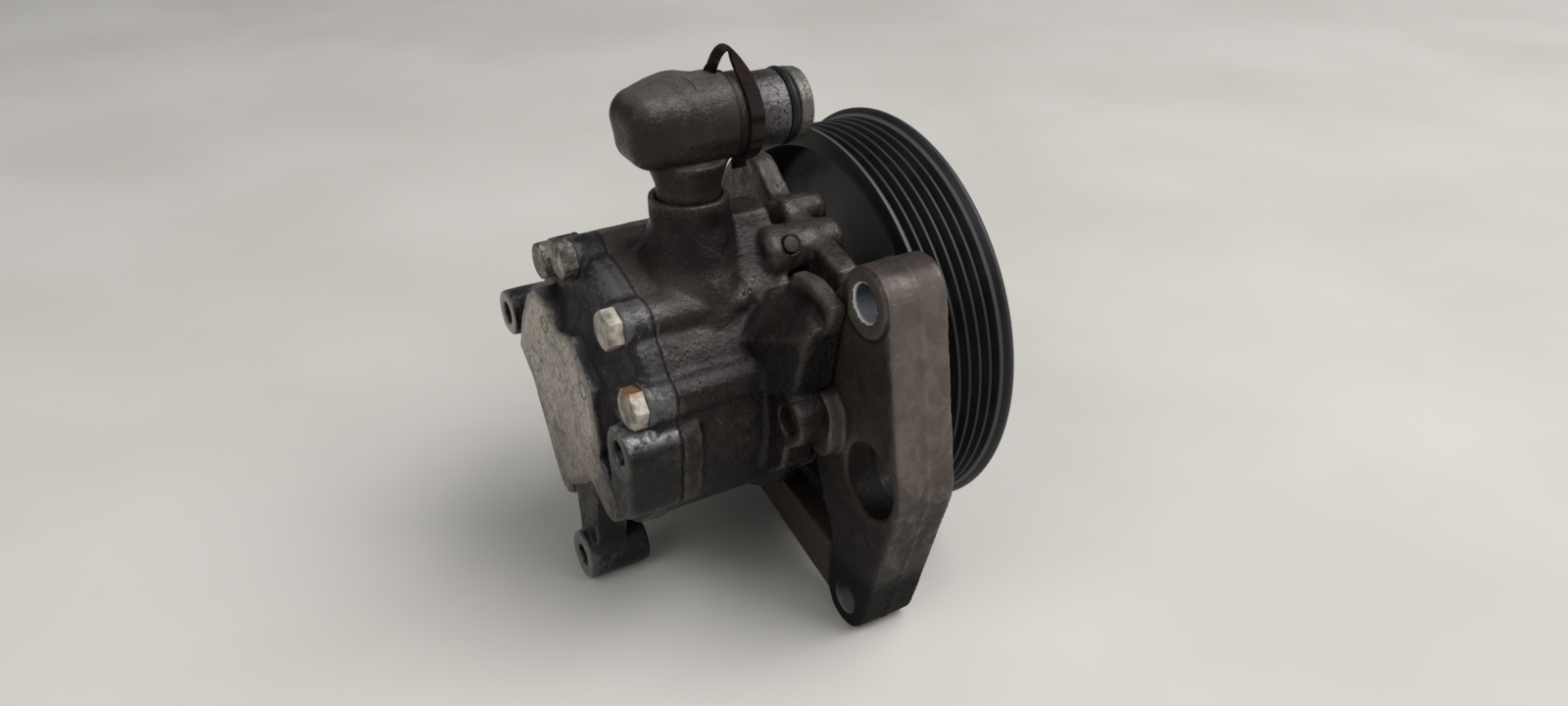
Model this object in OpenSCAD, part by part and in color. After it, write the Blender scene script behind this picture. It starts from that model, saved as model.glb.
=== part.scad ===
// Belt-driven vane pump for power steering, with its mounting bracket and inlet elbow.
// The shaft lies along X with the pulley at +X. The origin is on the shaft in the belt's
// mid plane. Z is up as the pump stands on its pulley, bracket foot and rear foot.

/* [Layout along the shaft] */
// Height of the shaft axis over the feet
axis_h = 64; // [63:0.5:66]
// Belt mid plane back to the front face of the housing
front_face_d = 24; // [22:0.5:27]
// Belt mid plane back to the rear face of the bracket
bracket_face_d = 38; // [36:0.5:41]
// Belt mid plane back to the inner front wall of the pump chamber
chamber_wall_d = 47; // [45:0.5:49]
// Belt mid plane back to the joint of housing and rear cover
joint_d = 79; // [77:0.5:83]
// Belt mid plane back to the machined faces of the rear bosses
boss_face_d = 94; // [92:0.5:98]

/* [Pulley] */
// Pitch of the belt grooves
groove_pitch = 3.56; // [3.4:0.02:3.7]
// Number of belt grooves
groove_count = 6; // [4:1:7]
// Radius over the ribs
rib_r = 60.3; // [58:0.1:62]
// Depth of the belt grooves
groove_depth = 2.7; // [2:0.1:3]
// Width of the flat top of a rib
rib_top_w = 0.65; // [0.4:0.05:1]
// Height of the front flange over the ribs
front_lip_h = 2.2; // [1:0.1:2.2]
// Width of the front flange
front_lip_w = 3.6; // [3:0.1:5]
// Height of the rear flange over the ribs
rear_lip_h = 1.5; // [0.5:0.1:2.2]
// Width of the rear flange
rear_lip_w = 2; // [1.5:0.1:2.5]
// Radius of the open dish inside the rim
dish_r = 55.3; // [54.6:0.1:56]
// Thickness of the web
web_t = 3.2; // [2.5:0.1:5]
// Belt mid plane to the rear side of the web at the rim
web_rim_d = 4.4; // [2:0.1:6]
// How far the web leans back towards the hub
web_lean = 5; // [2:0.5:7]
// Radius of the hub
hub_r = 15; // [13:0.5:18]
// Length of the hub
hub_len = 16.5; // [12:0.5:18]
// Belt mid plane to the front end of the hub
hub_front_d = 8; // [6:0.5:10]

/* [Shaft] */
// Radius of the shaft in the front bush and in the hub
shaft_r = 8.5; // [7.5:0.1:9.5]
// Radius of the shaft in the rotor
spline_r = 8; // [7:0.1:8.4]
// Radius of the rear journal
tail_r = 6.5; // [5.5:0.1:7]
// Depth of the centre drilling in the front end
centre_h = 4; // [2:0.5:6]

/* [Housing] */
// Radius of the barrel
barrel_r = 39.5; // [38.5:0.1:41]
// Radius of the rails that the cover bolts screw into
rail_r = 6; // [5.4:0.1:6.5]
// Radius of the pump chamber
chamber_r = 31; // [30.5:0.1:32]
// Radius of the front disc behind the bracket
disc_r = 42; // [41:0.1:43]
// Radius of the front plate inside the bracket
plate_r = 39; // [38:0.1:39.5]
// Radius of the nose that carries the shaft seal
nose_r = 17; // [16:0.5:19]
// Length of the nose in front of the front face
nose_len = 14; // [13:0.5:14.5]
// Radius of the inlet port boss
port_r = 10.7; // [10.5:0.1:12]
// Height of the inlet port rim over the shaft axis
port_top_z = 57; // [55:0.5:58]
// Inlet port axis back from the belt mid plane
port_d = 59.5; // [57:0.5:62]
// Inlet port axis beside the shaft axis
port_off = 12; // [9:0.5:13]
// Radius of the pressure outlet thread
outlet_r = 7.25; // [6:0.05:8]
// Depth of the pressure outlet thread
outlet_depth = 12; // [10:0.5:12.5]

/* [Rear cover] */
// Radius of the circle of cover bolts
bolt_circle_r = 37.8; // [37:0.1:38.5]
// Thickness of the cover under the bolt heads
cover_t = 8; // [7:0.1:9]
// Radius of the raised round end
dome_r = 25.5; // [24:0.1:27]
// Height of the raised end over the boss faces
dome_step = 1; // [0.4:0.1:2]
// Depth of the cover's spigot in the chamber
spigot_h = 4; // [3.6:0.1:5]
// Radius of the three rear mounting bosses
boss_r = 7; // [6.5:0.1:7.5]
// Radius of their threaded holes
boss_hole_r = 3.4; // [3:0.05:4.2]
// Depth of their threaded holes
boss_hole_depth = 12; // [8:0.5:13]

/* [Cover bolts] */
// Shank radius
bolt_r = 3; // [2.6:0.05:3.4]
// Width of the hexagon across flats
bolt_af = 10; // [9.5:0.5:11]
// Height of the head
bolt_head_h = 4.2; // [4:0.1:5]
// Length of the shank
bolt_len = 24; // [18:0.5:26]

/* [Pump cartridge] */
// Thickness of the rear pressure plate
rear_plate_t = 5; // [4:0.1:6]
// Width of the cam ring
cam_w = 17; // [16:0.1:17.5]
// Small radius of the cam track
cam_small_r = 20.9; // [20.5:0.1:21.5]
// Rise of the cam track on its two lobes
cam_rise = 3.5; // [2:0.1:4]
// Number of vanes
vane_count = 10; // [8:2:10]
// Thickness of a vane
vane_t = 1.8; // [1.4:0.1:2]
// Radial length of a vane
vane_len = 7.4; // [6.5:0.1:7.6]
// Radius of the two locating pins
pin_r = 2; // [1.5:0.1:2.4]

/* [Flow control valve] */
// Radius of the valve bore
valve_bore_r = 6.45; // [6:0.05:7]
// Valve axis beside the shaft axis, on the far side
valve_off = 24; // [22:0.5:26]
// Closed top end of the bore over the shaft axis
valve_top_z = 18; // [16:0.5:20]
// Length of the spool
spool_len = 19; // [16:0.5:21]
// Travel of the spool against its spring
spool_travel = 6; // [3:0.5:8]
// Length of the fitted spring
valve_spring_len = 19.5; // [16:0.5:21]
// Wire radius of the spring
spring_wire_r = 0.7; // [0.5:0.05:0.9]
// Width of the plug's hexagon across flats
valve_plug_af = 19; // [17:1:22]

/* [Bracket] */
// Thickness of the bracket along the shaft
bracket_w = 18; // [16:0.5:20]
// Radius of the upper bore
upper_bore_r = 5.1; // [4:0.05:5.5]
// Radius of the lower bore
lower_bore_r = 4.5; // [4:0.05:5.5]
// Radius of the upper boss
upper_boss_r = 9.5; // [8.5:0.1:10.5]
// Radius of the lower boss, which is the foot
lower_boss_r = 9; // [8.5:0.1:9.5]
// Radius of the lightening hole
light_r = 10.5; // [8:0.1:11]
// Wall round the lightening hole
light_wall = 3; // [2.5:0.1:4]
// Shank radius of the bracket bolts
bracket_bolt_r = 4; // [3.5:0.1:4.2]

/* [Inlet elbow] */
// Radius of the neck
neck_r = 8.6; // [7.5:0.1:9]
// Depth of the neck in the port
neck_depth = 12; // [9:0.5:12.5]
// Height of the spigot axis over the shaft axis
spigot_z = 75.8; // [75:0.1:78]
// Radius of the spigot
spigot_r = 9.9; // [9.6:0.1:10.2]
// Bore of the elbow
elbow_bore_r = 6.5; // [5.5:0.1:7]
// Belt mid plane back to the end of the spigot
spigot_end_d = 26.7; // [25.5:0.1:28]
// Length of the spigot in front of the clip
spigot_len = 12.6; // [12:0.1:13]
// Radius of the cast collar behind the clip
collar_r = 10.9; // [10.7:0.1:11.3]
// Section radius of the spigot seal
spigot_seal_r = 1.3; // [1.1:0.05:1.35]

/* [Fits] */
// Radial running clearance of shaft and spool
run_c = 0.05; // [0.02:0.01:0.09]
// Clearance of parts that are pushed together
slip_c = 0.1; // [0.05:0.01:0.2]

/* [Hidden] */
$fn = 64;

// Places along the shaft
x_face = -front_face_d;
x_brk = -bracket_face_d;
x_brk_front = x_brk + bracket_w;
x_wall = -chamber_wall_d;
x_joint = -joint_d;
x_boss = -boss_face_d;
x_seat = x_joint - cover_t;
x_dome = x_boss - dome_step;
x_rear_plate = x_joint + spigot_h;
x_cam = x_rear_plate + rear_plate_t;
x_front_plate = x_cam + cam_w;
x_shaft_end = hub_front_d;
x_tail_end = x_joint - 10;
x_spigot_end = -spigot_end_d;
x_clip = x_spigot_end - spigot_len;

// Cover bolts as angle, from the side with the bracket upwards, and distance outside the bolt circle
bolts_at = [[20, 0], [52, 0], [97, 0.8], [122, 0.2], [247, 3.8]];
function at_angle(r, a) = [-r * cos(a), r * sin(a)];
function bolt_at(b, more = 0) = at_angle(bolt_circle_r + b[1] + more, b[0]);

// Rear bosses as side and height from the shaft axis
boss_side = [-34.8, 0.3];
boss_far = [47, 5];
low_boss_r = boss_r + 0.4;
boss_low = [0.7, -axis_h + low_boss_r];
pad_at = [-26.1, -19.3];
pad_r = 6.5;

// Bracket points as side and height from the shaft axis
brk_upper = [-63, 41];
brk_lower = [-57.6, -axis_h + lower_boss_r];
brk_light = [-67, -9];
ears = [[-46, 24], [-49, 4], [-2, -40.5]];
ear_r = 7.6;
ear_rear_x = x_brk - 14;
lug_step = 5;
arm_bolt_depth = 5.4;
arm_t = 8;
// Thick lug with the closed drilling, as side and height from the shaft axis
lug_at = [-20.5, 38.8];
lug_rear_r = 7.2;
lug_front_r = 5.8;
lug_x0 = x_brk - 4;
lug_len = 22.5;

// Valve places
x_valve = -36;
plug_top_z = valve_top_z - spool_len - valve_spring_len;
plug_seat_z = -41;
outlet_z = -8;
outlet_face_y = 44;

// Cartridge values
rotor_r = cam_small_r - 0.4;
vane_r = rotor_r - 0.1;
vane_root_r = vane_r - vane_len;
cart_r = chamber_r - slip_c;
pin_ring_r = (cart_r + cam_small_r + cam_rise) / 2;
bush_wall = 2;
seal_r = 13;

function cam_r(a) = cam_small_r + cam_rise * pow(cos(a), 2);

// Cylinder along the shaft direction
module rod_x(r, x0, x1, p = [0, 0]) {
    translate([x0, p[0], p[1]]) rotate([0, 90, 0]) cylinder(r = r, h = x1 - x0);
}

// Hexagon along the shaft direction
module hex_x(af, x0, x1, p = [0, 0], turn = 0) {
    translate([x0, p[0], p[1]]) rotate([turn, 0, 0]) rotate([0, 90, 0])
        cylinder(r = af / sqrt(3), h = x1 - x0, $fn = 6);
}

// Outline in the plane across the shaft, drawn out along the shaft
module prism_x(x0, x1) {
    translate([x0, 0, 0]) rotate([90, 0, 90]) linear_extrude(x1 - x0) children();
}

// Profile of radius and place along the shaft, turned about the shaft
module turn_x() {
    rotate([0, 90, 0]) rotate_extrude($fn = 96) children();
}

// Two circles joined by their common tangents
module link(p, rp, q, rq) {
    d = norm(q - p);
    turn = atan2(q[1] - p[1], q[0] - p[0]);
    open = acos((rp - rq) / d);
    up = [cos(turn + open), sin(turn + open)];
    down = [cos(turn - open), sin(turn - open)];
    translate(p) circle(rp);
    translate(q) circle(rq);
    polygon([p + rp * up, q + rq * up, q + rq * down, p + rp * down]);
}

module housing() {
    color([0.42, 0.41, 0.39]) difference() {
        union() {
            // Barrel with its draft towards the joint
            turn_x() polygon([[0, x_joint], [barrel_r + 0.5, x_joint], [barrel_r, x_joint + 6],
                [barrel_r, x_brk - 10], [disc_r, x_brk - 6], [disc_r, x_brk - 0.3],
                [plate_r, x_brk - 0.3], [plate_r, x_face - 2], [plate_r - 2, x_face],
                [nose_r + 3, x_face], [nose_r, x_face + 3], [nose_r, x_face + nose_len - 1.5],
                [nose_r - 1.5, x_face + nose_len], [0, x_face + nose_len]]);
            // Rails for the cover bolts
            for (b = bolts_at) rod_x(rail_r, x_joint, x_joint + bolt_len + 4, bolt_at(b, -0.9));
            // Half of the side boss that crosses the joint
            prism_x(x_joint, x_joint + 6.3) {
                side_boss();
                side_web();
            }
            // Inlet port boss: a rim on a wide foot that spreads over the barrel
            translate([-port_d, -port_off, port_top_z - 5.5]) cylinder(r = port_r, h = 5.5);
            translate([-port_d, -port_off, 22])
                cylinder(r1 = port_r + 8.8, r2 = port_r - 0.6, h = port_top_z - 27.4);
            // Shoulder from the port boss to the front disc, with a sloped side
            intersection() {
                prism_x(-port_d + 4, x_brk - 0.3) polygon([[-6, 26], [-6, 50.4], [-13, 50.7], [-16.5, 50.1],
                    [-19.5, 45], [-24, 38.5], [-30, 30], [-31, 20]]);
                linear_extrude(60) polygon([[-port_d, -4], [-port_d, -14], [x_brk - 8, -34], [x_brk, -34],
                    [x_brk, -4]]);
            }
            // Upper flange plate and the round boss in front of it
            prism_x(x_face - 7, x_face) polygon([[27, 18], [26, 43], [19, 51], [10, 56], [4, 55], [-5, 47.5],
                [-33, 40.5], [-40, 38.5], [-41.5, 34], [-36, 28], [-25, 5], [0, 0]]);
            rod_x(4.7, x_face - 7, x_face + 7, [-9, 43.5]);
            // Thick lug with the closed cross drilling
            translate([lug_x0, lug_at[0], lug_at[1]]) rotate([0, 90, 0])
                cylinder(r1 = lug_rear_r, r2 = lug_front_r, h = lug_len);
            translate([lug_x0 - 2, lug_at[0], lug_at[1]]) rotate([0, 90, 0])
                cylinder(r1 = lug_rear_r - 2, r2 = lug_rear_r, h = 2);
            // Block that carries the bracket, with its rear side and its top corner sloped
            intersection() {
                prism_x(x_brk - 20, x_brk) polygon([[-26, 28], [-35, 37.6], [-41, 37.6], [-54, 31], [-50, 11],
                    [-38, 9], [-26, 7]]);
                linear_extrude(60) polygon([[x_brk, -20], [x_brk - 22, -20], [x_brk - 17, -38],
                    [x_brk - 10.7, -54], [x_brk - 10.7, -60], [x_brk, -60]]);
                rotate([90, 0, 0]) linear_extrude(70) polygon([[x_brk, 0], [x_brk - 24, 0], [x_brk - 24, 17],
                    [x_brk - 10.7, 29.6], [x_brk - 4, 36], [x_brk - 2, 39], [x_brk, 40]]);
            }
            // Raised step of the block next to the bracket
            prism_x(x_brk - 5, x_brk) polygon([[-36, 26], [-36, 39.6], [-44.5, 40.6], [-56, 37.4], [-54, 30],
                [-50, 20]]);
            // Lower lug with its thick foot, and the lug for the arm
            prism_x(ear_rear_x, x_brk - lug_step) {
                link([-30, -4], ear_r + 2, ears[1], ear_r - 0.4);
                polygon([[-28, -2], [-50, 0], [-46.5, -12.5], [-39.5, -18], [-26, -18]]);
            }
            prism_x(x_brk - lug_step - 1, x_brk - 0.6)
                polygon([[-26, -10.5], [-45.5, -10.5], [-46, -12.5], [-39.5, -18], [-26, -18]]);
            prism_x(x_brk - arm_bolt_depth - 0.8, x_brk - 0.3) translate(ears[2]) circle(ear_r - 1);
            // Valve boss and outlet boss on the far side
            translate([x_valve, valve_off, plug_seat_z]) cylinder(r = valve_bore_r + 4.5, h = 30);
            translate([x_valve, 0, outlet_z]) rotate([-90, 0, 0]) cylinder(r = outlet_r + 4, h = outlet_face_y);
        }
        // Chamber, shaft bore and seal seat
        rod_x(chamber_r, x_joint - 1, x_wall);
        rod_x(shaft_r + bush_wall + run_c, x_wall - 1, x_face + nose_len - 8);
        rod_x(seal_r, x_face + nose_len - 7.5, x_face + nose_len + 1);
        rod_x(shaft_r + 1, x_face, x_face + nose_len);
        // Bolt holes
        for (b = bolts_at) rod_x(bolt_r + 0.05, x_joint - 1, x_joint + bolt_len - cover_t + 2, bolt_at(b));
        // Inlet passage down to the chamber
        translate([-port_d, -port_off, port_top_z - neck_depth])
            cylinder(r = neck_r + slip_c, h = neck_depth + 1);
        translate([-port_d, -port_off, 0]) cylinder(r = elbow_bore_r, h = port_top_z);
        // Bracket bolt holes
        rod_x(bracket_bolt_r + 0.05, x_brk - 11, x_brk + 1, ears[0]);
        rod_x(bracket_bolt_r + 0.05, ear_rear_x - 1, x_brk + 1, ears[1]);
        rod_x(bracket_bolt_r + 0.05, x_brk - arm_bolt_depth - 0.2, x_brk + 1, ears[2]);
        // Pocket in the front plate for the end of the arm
        prism_x(x_brk - 0.3, x_face + 1) link(ears[2], ear_r, ears[2] + [-24, -8], ear_r + 3);
        // Valve bore, its passages and the outlet
        translate([x_valve, valve_off, plug_seat_z - 1])
            cylinder(r = valve_bore_r, h = valve_top_z - plug_seat_z + 1);
        translate([x_valve, 0, outlet_z]) rotate([-90, 0, 0])
            translate([0, 0, outlet_face_y - outlet_depth]) cylinder(r = outlet_r, h = outlet_depth + 1);
        translate([x_valve, 0, outlet_z]) rotate([-90, 0, 0]) translate([0, 0, valve_off])
            cylinder(r = 3, h = outlet_face_y - valve_off);
        rod_x(2.5, x_wall - 1, x_valve, [valve_off, 4]);
        // Closed cross drilling
        drill_at() cylinder(r = drill_r + 0.02, h = 14, center = true);
    }
}

// Place of the closed cross drilling, square to the lug's upper side
drill_r = 2.3;
module drill_at() {
    translate([lug_x0 + 5.2, lug_at[0], lug_at[1]]) rotate([57, 0, 0]) translate([0, 0, 6.9]) children();
}

// Side boss outline that the cover and the housing share
module side_boss() {
    link(boss_side, boss_r + 0.5, boss_side + [0, -14], boss_r - 1);
}

// Web behind the side boss
module side_web() {
    link(boss_side, boss_r, [-13, 0], boss_r + 3);
}

// Outline of the cover's raised end face
end_outline = [[34.8, 0.1], [29.5, 12], [22.5, 22], [15.6, 26.7], [6.7, 25], [0, 20.5], [-9.3, 22.3],
    [-15.8, 16.8], [-21, 12], [-21.8, 6], [-23.8, -4.6], [-20.5, -13.5], [-12, -22.5], [-2, -29], [9.5, -34.9], [12.6, -29.2],
    [19.3, -17.6], [26.4, -6]];

module rear_cover() {
    color([0.5, 0.5, 0.52]) difference() {
        union() {
            turn_x() polygon([[0, x_joint], [barrel_r + 0.7, x_joint], [barrel_r + 0.7, x_joint - 5],
                [barrel_r - 1.5, x_seat + 0.8], [dome_r + 4, x_seat - 1.5], [dome_r - 5, x_dome + 1.6],
                [0, x_dome + 1.6]]);
            // Raised end face
            prism_x(x_dome, x_joint - 1.3) polygon(end_outline);
            // Spigot in the chamber
            turn_x() polygon([[0, x_joint], [cart_r, x_joint], [cart_r, x_rear_plate], [0, x_rear_plate]]);
            // Seats under the bolt heads
            for (b = bolts_at) rod_x(rail_r + 0.3, x_seat - 0.5, x_joint, bolt_at(b, -0.6));
            // Side boss, far boss and low boss with their webs
            prism_x(x_boss, x_joint) side_boss();
            prism_x(x_boss + 3.5, x_joint) side_web();
            rod_x(boss_r, x_boss, x_joint - 1, boss_far);
            rod_x(low_boss_r, x_boss, x_joint + 4, boss_low);
            prism_x(x_boss + 3, x_joint - 2) {
                link(boss_far, boss_r - 1.5, [13, 1], boss_r + 3);
                link(boss_low + [1, 2], boss_r - 1, [1, -16], boss_r + 3);
            }
            // Pad beside the side boss
            prism_x(x_dome + 0.5, x_joint - 1.3) link(pad_at, pad_r, [-9, -7], pad_r + 2.5);
        }
        // Room for the bolt heads
        for (b = bolts_at) {
            rod_x(bolt_r + 0.3, x_dome - 1, x_joint + 1, bolt_at(b));
            rod_x(bolt_af / sqrt(3) + 0.6, x_dome - 1, x_seat, bolt_at(b));
        }
        // Threaded holes of the three bosses
        for (h = [[boss_side, 0], [boss_far, -1], [boss_low, 1]])
            rod_x(boss_hole_r, x_boss - 1, x_boss + boss_hole_depth + h[1], h[0]);
        // Seat of the rear bush
        rod_x(tail_r + bush_wall + run_c, x_tail_end - 0.5, x_rear_plate + 1);
        // Seal groove
        turn_x() polygon([[cart_r - 2.6, x_joint + 0.7], [cart_r + 1, x_joint + 0.7],
            [cart_r + 1, x_joint + 3.2], [cart_r - 2.6, x_joint + 3.2]]);
    }
}

module cover_bolts() {
    color([0.72, 0.7, 0.66]) for (b = bolts_at) {
        p = bolt_at(b);
        rod_x(bolt_r, x_seat - 0.1, x_seat + bolt_len, p);
        intersection() {
            hex_x(bolt_af, x_seat - bolt_head_h, x_seat, p, b[0]);
            translate([0, p[0], p[1]]) turn_x() polygon([[0, x_seat - bolt_head_h],
                [bolt_af * 0.47, x_seat - bolt_head_h], [bolt_af * 0.6, x_seat - bolt_head_h + 0.8],
                [bolt_af * 0.6, x_seat], [0, x_seat]]);
        }
    }
}

module cover_seal() {
    color([0.1, 0.1, 0.1]) turn_x() translate([cart_r - 1.3, x_joint + 1.95]) circle(1.2, $fn = 24);
}

// Round plate of the cartridge with the shaft hole and two pin holes
module plate(x0, t) {
    difference() {
        rod_x(cart_r, x0, x0 + t);
        rod_x(shaft_r + 0.9, x0 - 1, x0 + t + 1);
        for (s = [-1, 1]) rod_x(pin_r + run_c, x0 - 1, x0 + t + 1, [0, s * pin_ring_r]);
        // Kidney ports
        for (a = [45, 135, 225, 315])
            rod_x(2.6, x0 - 1, x0 + t + 1, at_angle(rotor_r - 4.5, a));
    }
}

module rear_plate() {
    color([0.6, 0.6, 0.58]) plate(x_rear_plate, rear_plate_t);
}

module front_plate() {
    color([0.6, 0.6, 0.58]) plate(x_front_plate, x_wall - x_front_plate);
}

module cam_ring() {
    color([0.5, 0.5, 0.5]) difference() {
        rod_x(cart_r, x_cam, x_front_plate);
        prism_x(x_cam - 1, x_front_plate + 1)
            polygon([for (a = [0:4:356]) cam_r(a) * [cos(a), sin(a)]]);
        for (s = [-1, 1]) rod_x(pin_r + run_c, x_cam - 1, x_front_plate + 1, [0, s * pin_ring_r]);
    }
}

module locating_pins() {
    color([0.7, 0.7, 0.7]) for (s = [-1, 1])
        rod_x(pin_r, x_rear_plate + 0.5, x_wall - 0.5, [0, s * pin_ring_r]);
}

module front_bush() {
    color([0.6, 0.45, 0.25]) difference() {
        rod_x(shaft_r + bush_wall, x_wall + 1.5, x_face + nose_len - 9);
        rod_x(shaft_r + run_c, x_wall, x_face + nose_len);
    }
}

module rear_bush() {
    color([0.6, 0.45, 0.25]) difference() {
        rod_x(tail_r + bush_wall, x_tail_end + 0.3, x_rear_plate - 0.5);
        rod_x(tail_r + run_c, x_tail_end - 1, x_rear_plate + 1);
    }
}

module shaft_seal() {
    color([0.12, 0.12, 0.12]) turn_x() polygon([[shaft_r + run_c, x_face + nose_len - 4],
        [shaft_r + 1.2, x_face + nose_len - 4.8], [seal_r - 2.2, x_face + nose_len - 2.4],
        [seal_r - 2.2, x_face + nose_len - 7.4], [seal_r - slip_c, x_face + nose_len - 7.4],
        [seal_r - slip_c, x_face + nose_len - 0.4], [shaft_r + 1, x_face + nose_len - 0.4],
        [shaft_r + run_c, x_face + nose_len - 1.4]]);
}

module shaft() {
    color([0.65, 0.65, 0.64]) difference() {
        turn_x() polygon([[0, x_tail_end], [tail_r - 0.8, x_tail_end], [tail_r, x_tail_end + 0.8],
            [tail_r, x_cam - 1.2], [spline_r, x_cam - 1.2], [spline_r, x_front_plate + 1],
            [shaft_r, x_front_plate + 1], [shaft_r, x_shaft_end - 1], [shaft_r - 1, x_shaft_end],
            [0, x_shaft_end]]);
        // Centre drilling and circlip groove
        rod_x(2.6, x_shaft_end - centre_h, x_shaft_end + 1);
        turn_x() polygon([[spline_r - 0.8, x_cam - 1.05], [spline_r + 1, x_cam - 1.05],
            [spline_r + 1, x_cam], [spline_r - 0.8, x_cam]]);
    }
}

module pulley() {
    half = groove_count * groove_pitch / 2;
    x_rear = -half - rear_lip_w + rib_top_w / 2;
    x_front = half + front_lip_w - rib_top_w / 2;
    lip_r = rib_r + front_lip_h;
    top_half = (groove_pitch - rib_top_w) / 2;
    low_half = top_half - groove_depth * tan(20);
    hub_rear = hub_front_d - hub_len;
    color([0.13, 0.13, 0.14]) turn_x() polygon(concat(
        [[shaft_r, hub_rear], [hub_r - 1, hub_rear], [hub_r, hub_rear + 1], [hub_r, web_rim_d - web_lean],
            [hub_r + 3, web_rim_d - web_lean],
            [dish_r - 6, web_rim_d], [dish_r - 1.5, web_rim_d - 1], [dish_r, web_rim_d - 3],
            [dish_r, x_rear + 0.6], [dish_r + 0.6, x_rear], [rib_r + rear_lip_h - 0.9, x_rear],
            [rib_r + rear_lip_h, x_rear + 0.9], [rib_r + rear_lip_h, -half - 0.2]],
        [for (k = [0:groove_count - 1], q = [[0, -top_half], [1, -low_half], [1, low_half], [0, top_half]])
            [rib_r - q[0] * groove_depth, -half + groove_pitch * (k + 0.5) + q[1]]],
        [[lip_r - 0.8, half + 0.9], [lip_r - 0.2, half + 1.7], [lip_r, half + 2.2], [lip_r, x_front - 0.6],
            [lip_r - 0.8, x_front], [dish_r + 1.5, x_front], [dish_r - 0.5, x_front - 1],
            [dish_r - 1.5, web_rim_d + web_t + 2], [dish_r - 6, web_rim_d + web_t],
            [hub_r + 3, web_rim_d - web_lean + web_t], [hub_r - 1, web_rim_d - web_lean + web_t + 1],
            [hub_r - 1, hub_front_d - 1], [hub_r - 2, hub_front_d], [shaft_r, hub_front_d]]));
}

module rotor() {
    color([0.55, 0.55, 0.55]) difference() {
        rod_x(rotor_r, x_cam + 0.04, x_front_plate - 0.04);
        rod_x(spline_r + 0.02, x_cam - 1, x_front_plate + 1);
        for (k = [0:vane_count - 1]) rotate([k * 360 / vane_count, 0, 0]) {
            translate([x_cam, vane_root_r - 0.6, -vane_t / 2 - run_c])
                cube([cam_w, rotor_r, vane_t + 2 * run_c]);
            rod_x(vane_t * 0.8, x_cam - 1, x_front_plate + 1, [vane_root_r - 0.6, 0]);
        }
    }
}

module rotor_circlip() {
    color([0.3, 0.3, 0.3]) difference() {
        rod_x(spline_r + 0.9, x_cam - 0.95, x_cam - 0.05);
        rod_x(spline_r - 0.7, x_cam - 2, x_cam + 1);
        translate([x_cam - 2, -1.5, 0]) cube([4, 3, spline_r + 3]);
    }
}

module vane(k) {
    color([0.7, 0.7, 0.72]) rotate([k * 360 / vane_count, 0, 0])
        translate([x_cam + 0.08, vane_root_r, -vane_t / 2])
            cube([cam_w - 0.16, vane_len, vane_t]);
}

module vane_01() { vane(0); }
module vane_02() { vane(1); }
module vane_03() { vane(2); }
module vane_04() { vane(3); }
module vane_05() { vane(4); }
module vane_06() { vane(5); }
module vane_07() { vane(6); }
module vane_08() { vane(7); }
module vane_09() { vane(8); }
module vane_10() { vane(9); }

// Round profile about the upright valve axis
module turn_valve() {
    translate([x_valve, valve_off, 0]) rotate_extrude() children();
}

module valve_spool() {
    top = valve_top_z - 0.3;
    low = valve_top_z - spool_len;
    r = valve_bore_r - run_c;
    color([0.68, 0.68, 0.7]) turn_valve() polygon([[0, top], [r - 1.4, top], [r - 1.4, top - 2], [r, top - 2],
        [r, top - 7], [r - 1.6, top - 7], [r - 1.6, top - 10], [r, top - 10], [r, low], [r - 1, low],
        [r - 1, low + 4], [0, low + 4]]);
}

// Coil drawn as a stack of rings
module valve_spring() {
    r = valve_bore_r - 2.4;
    low = plug_top_z + spring_wire_r;
    high = valve_top_z - spool_len + 4 - spring_wire_r - run_c;
    turns = 8;
    color([0.45, 0.45, 0.47]) turn_valve() {
        for (k = [0:turns]) translate([r, low + (high - low) * k / turns]) circle(spring_wire_r, $fn = 20);
        translate([r - 0.25, low]) square([0.5, high - low]);
    }
}

module valve_plug() {
    r = valve_bore_r - run_c;
    color([0.6, 0.58, 0.52]) {
        difference() {
            turn_valve() polygon([[0, plug_seat_z], [r, plug_seat_z], [r, plug_top_z], [0, plug_top_z]]);
            turn_valve() polygon([[r - 1.7, plug_seat_z + 4], [r + 1, plug_seat_z + 4],
                [r + 1, plug_seat_z + 6.2], [r - 1.7, plug_seat_z + 6.2]]);
        }
        translate([x_valve, valve_off, plug_seat_z - 6]) cylinder(r = valve_plug_af / sqrt(3), h = 6, $fn = 6);
    }
}

module valve_plug_seal() {
    color([0.1, 0.1, 0.1]) turn_valve()
        translate([valve_bore_r - run_c - 0.85, plug_seat_z + 5.1]) circle(0.8, $fn = 24);
}

module drill_plug() {
    color([0.55, 0.54, 0.52]) drill_at() translate([0, 0, -4]) cylinder(r = drill_r, h = 4.3);
}

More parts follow.
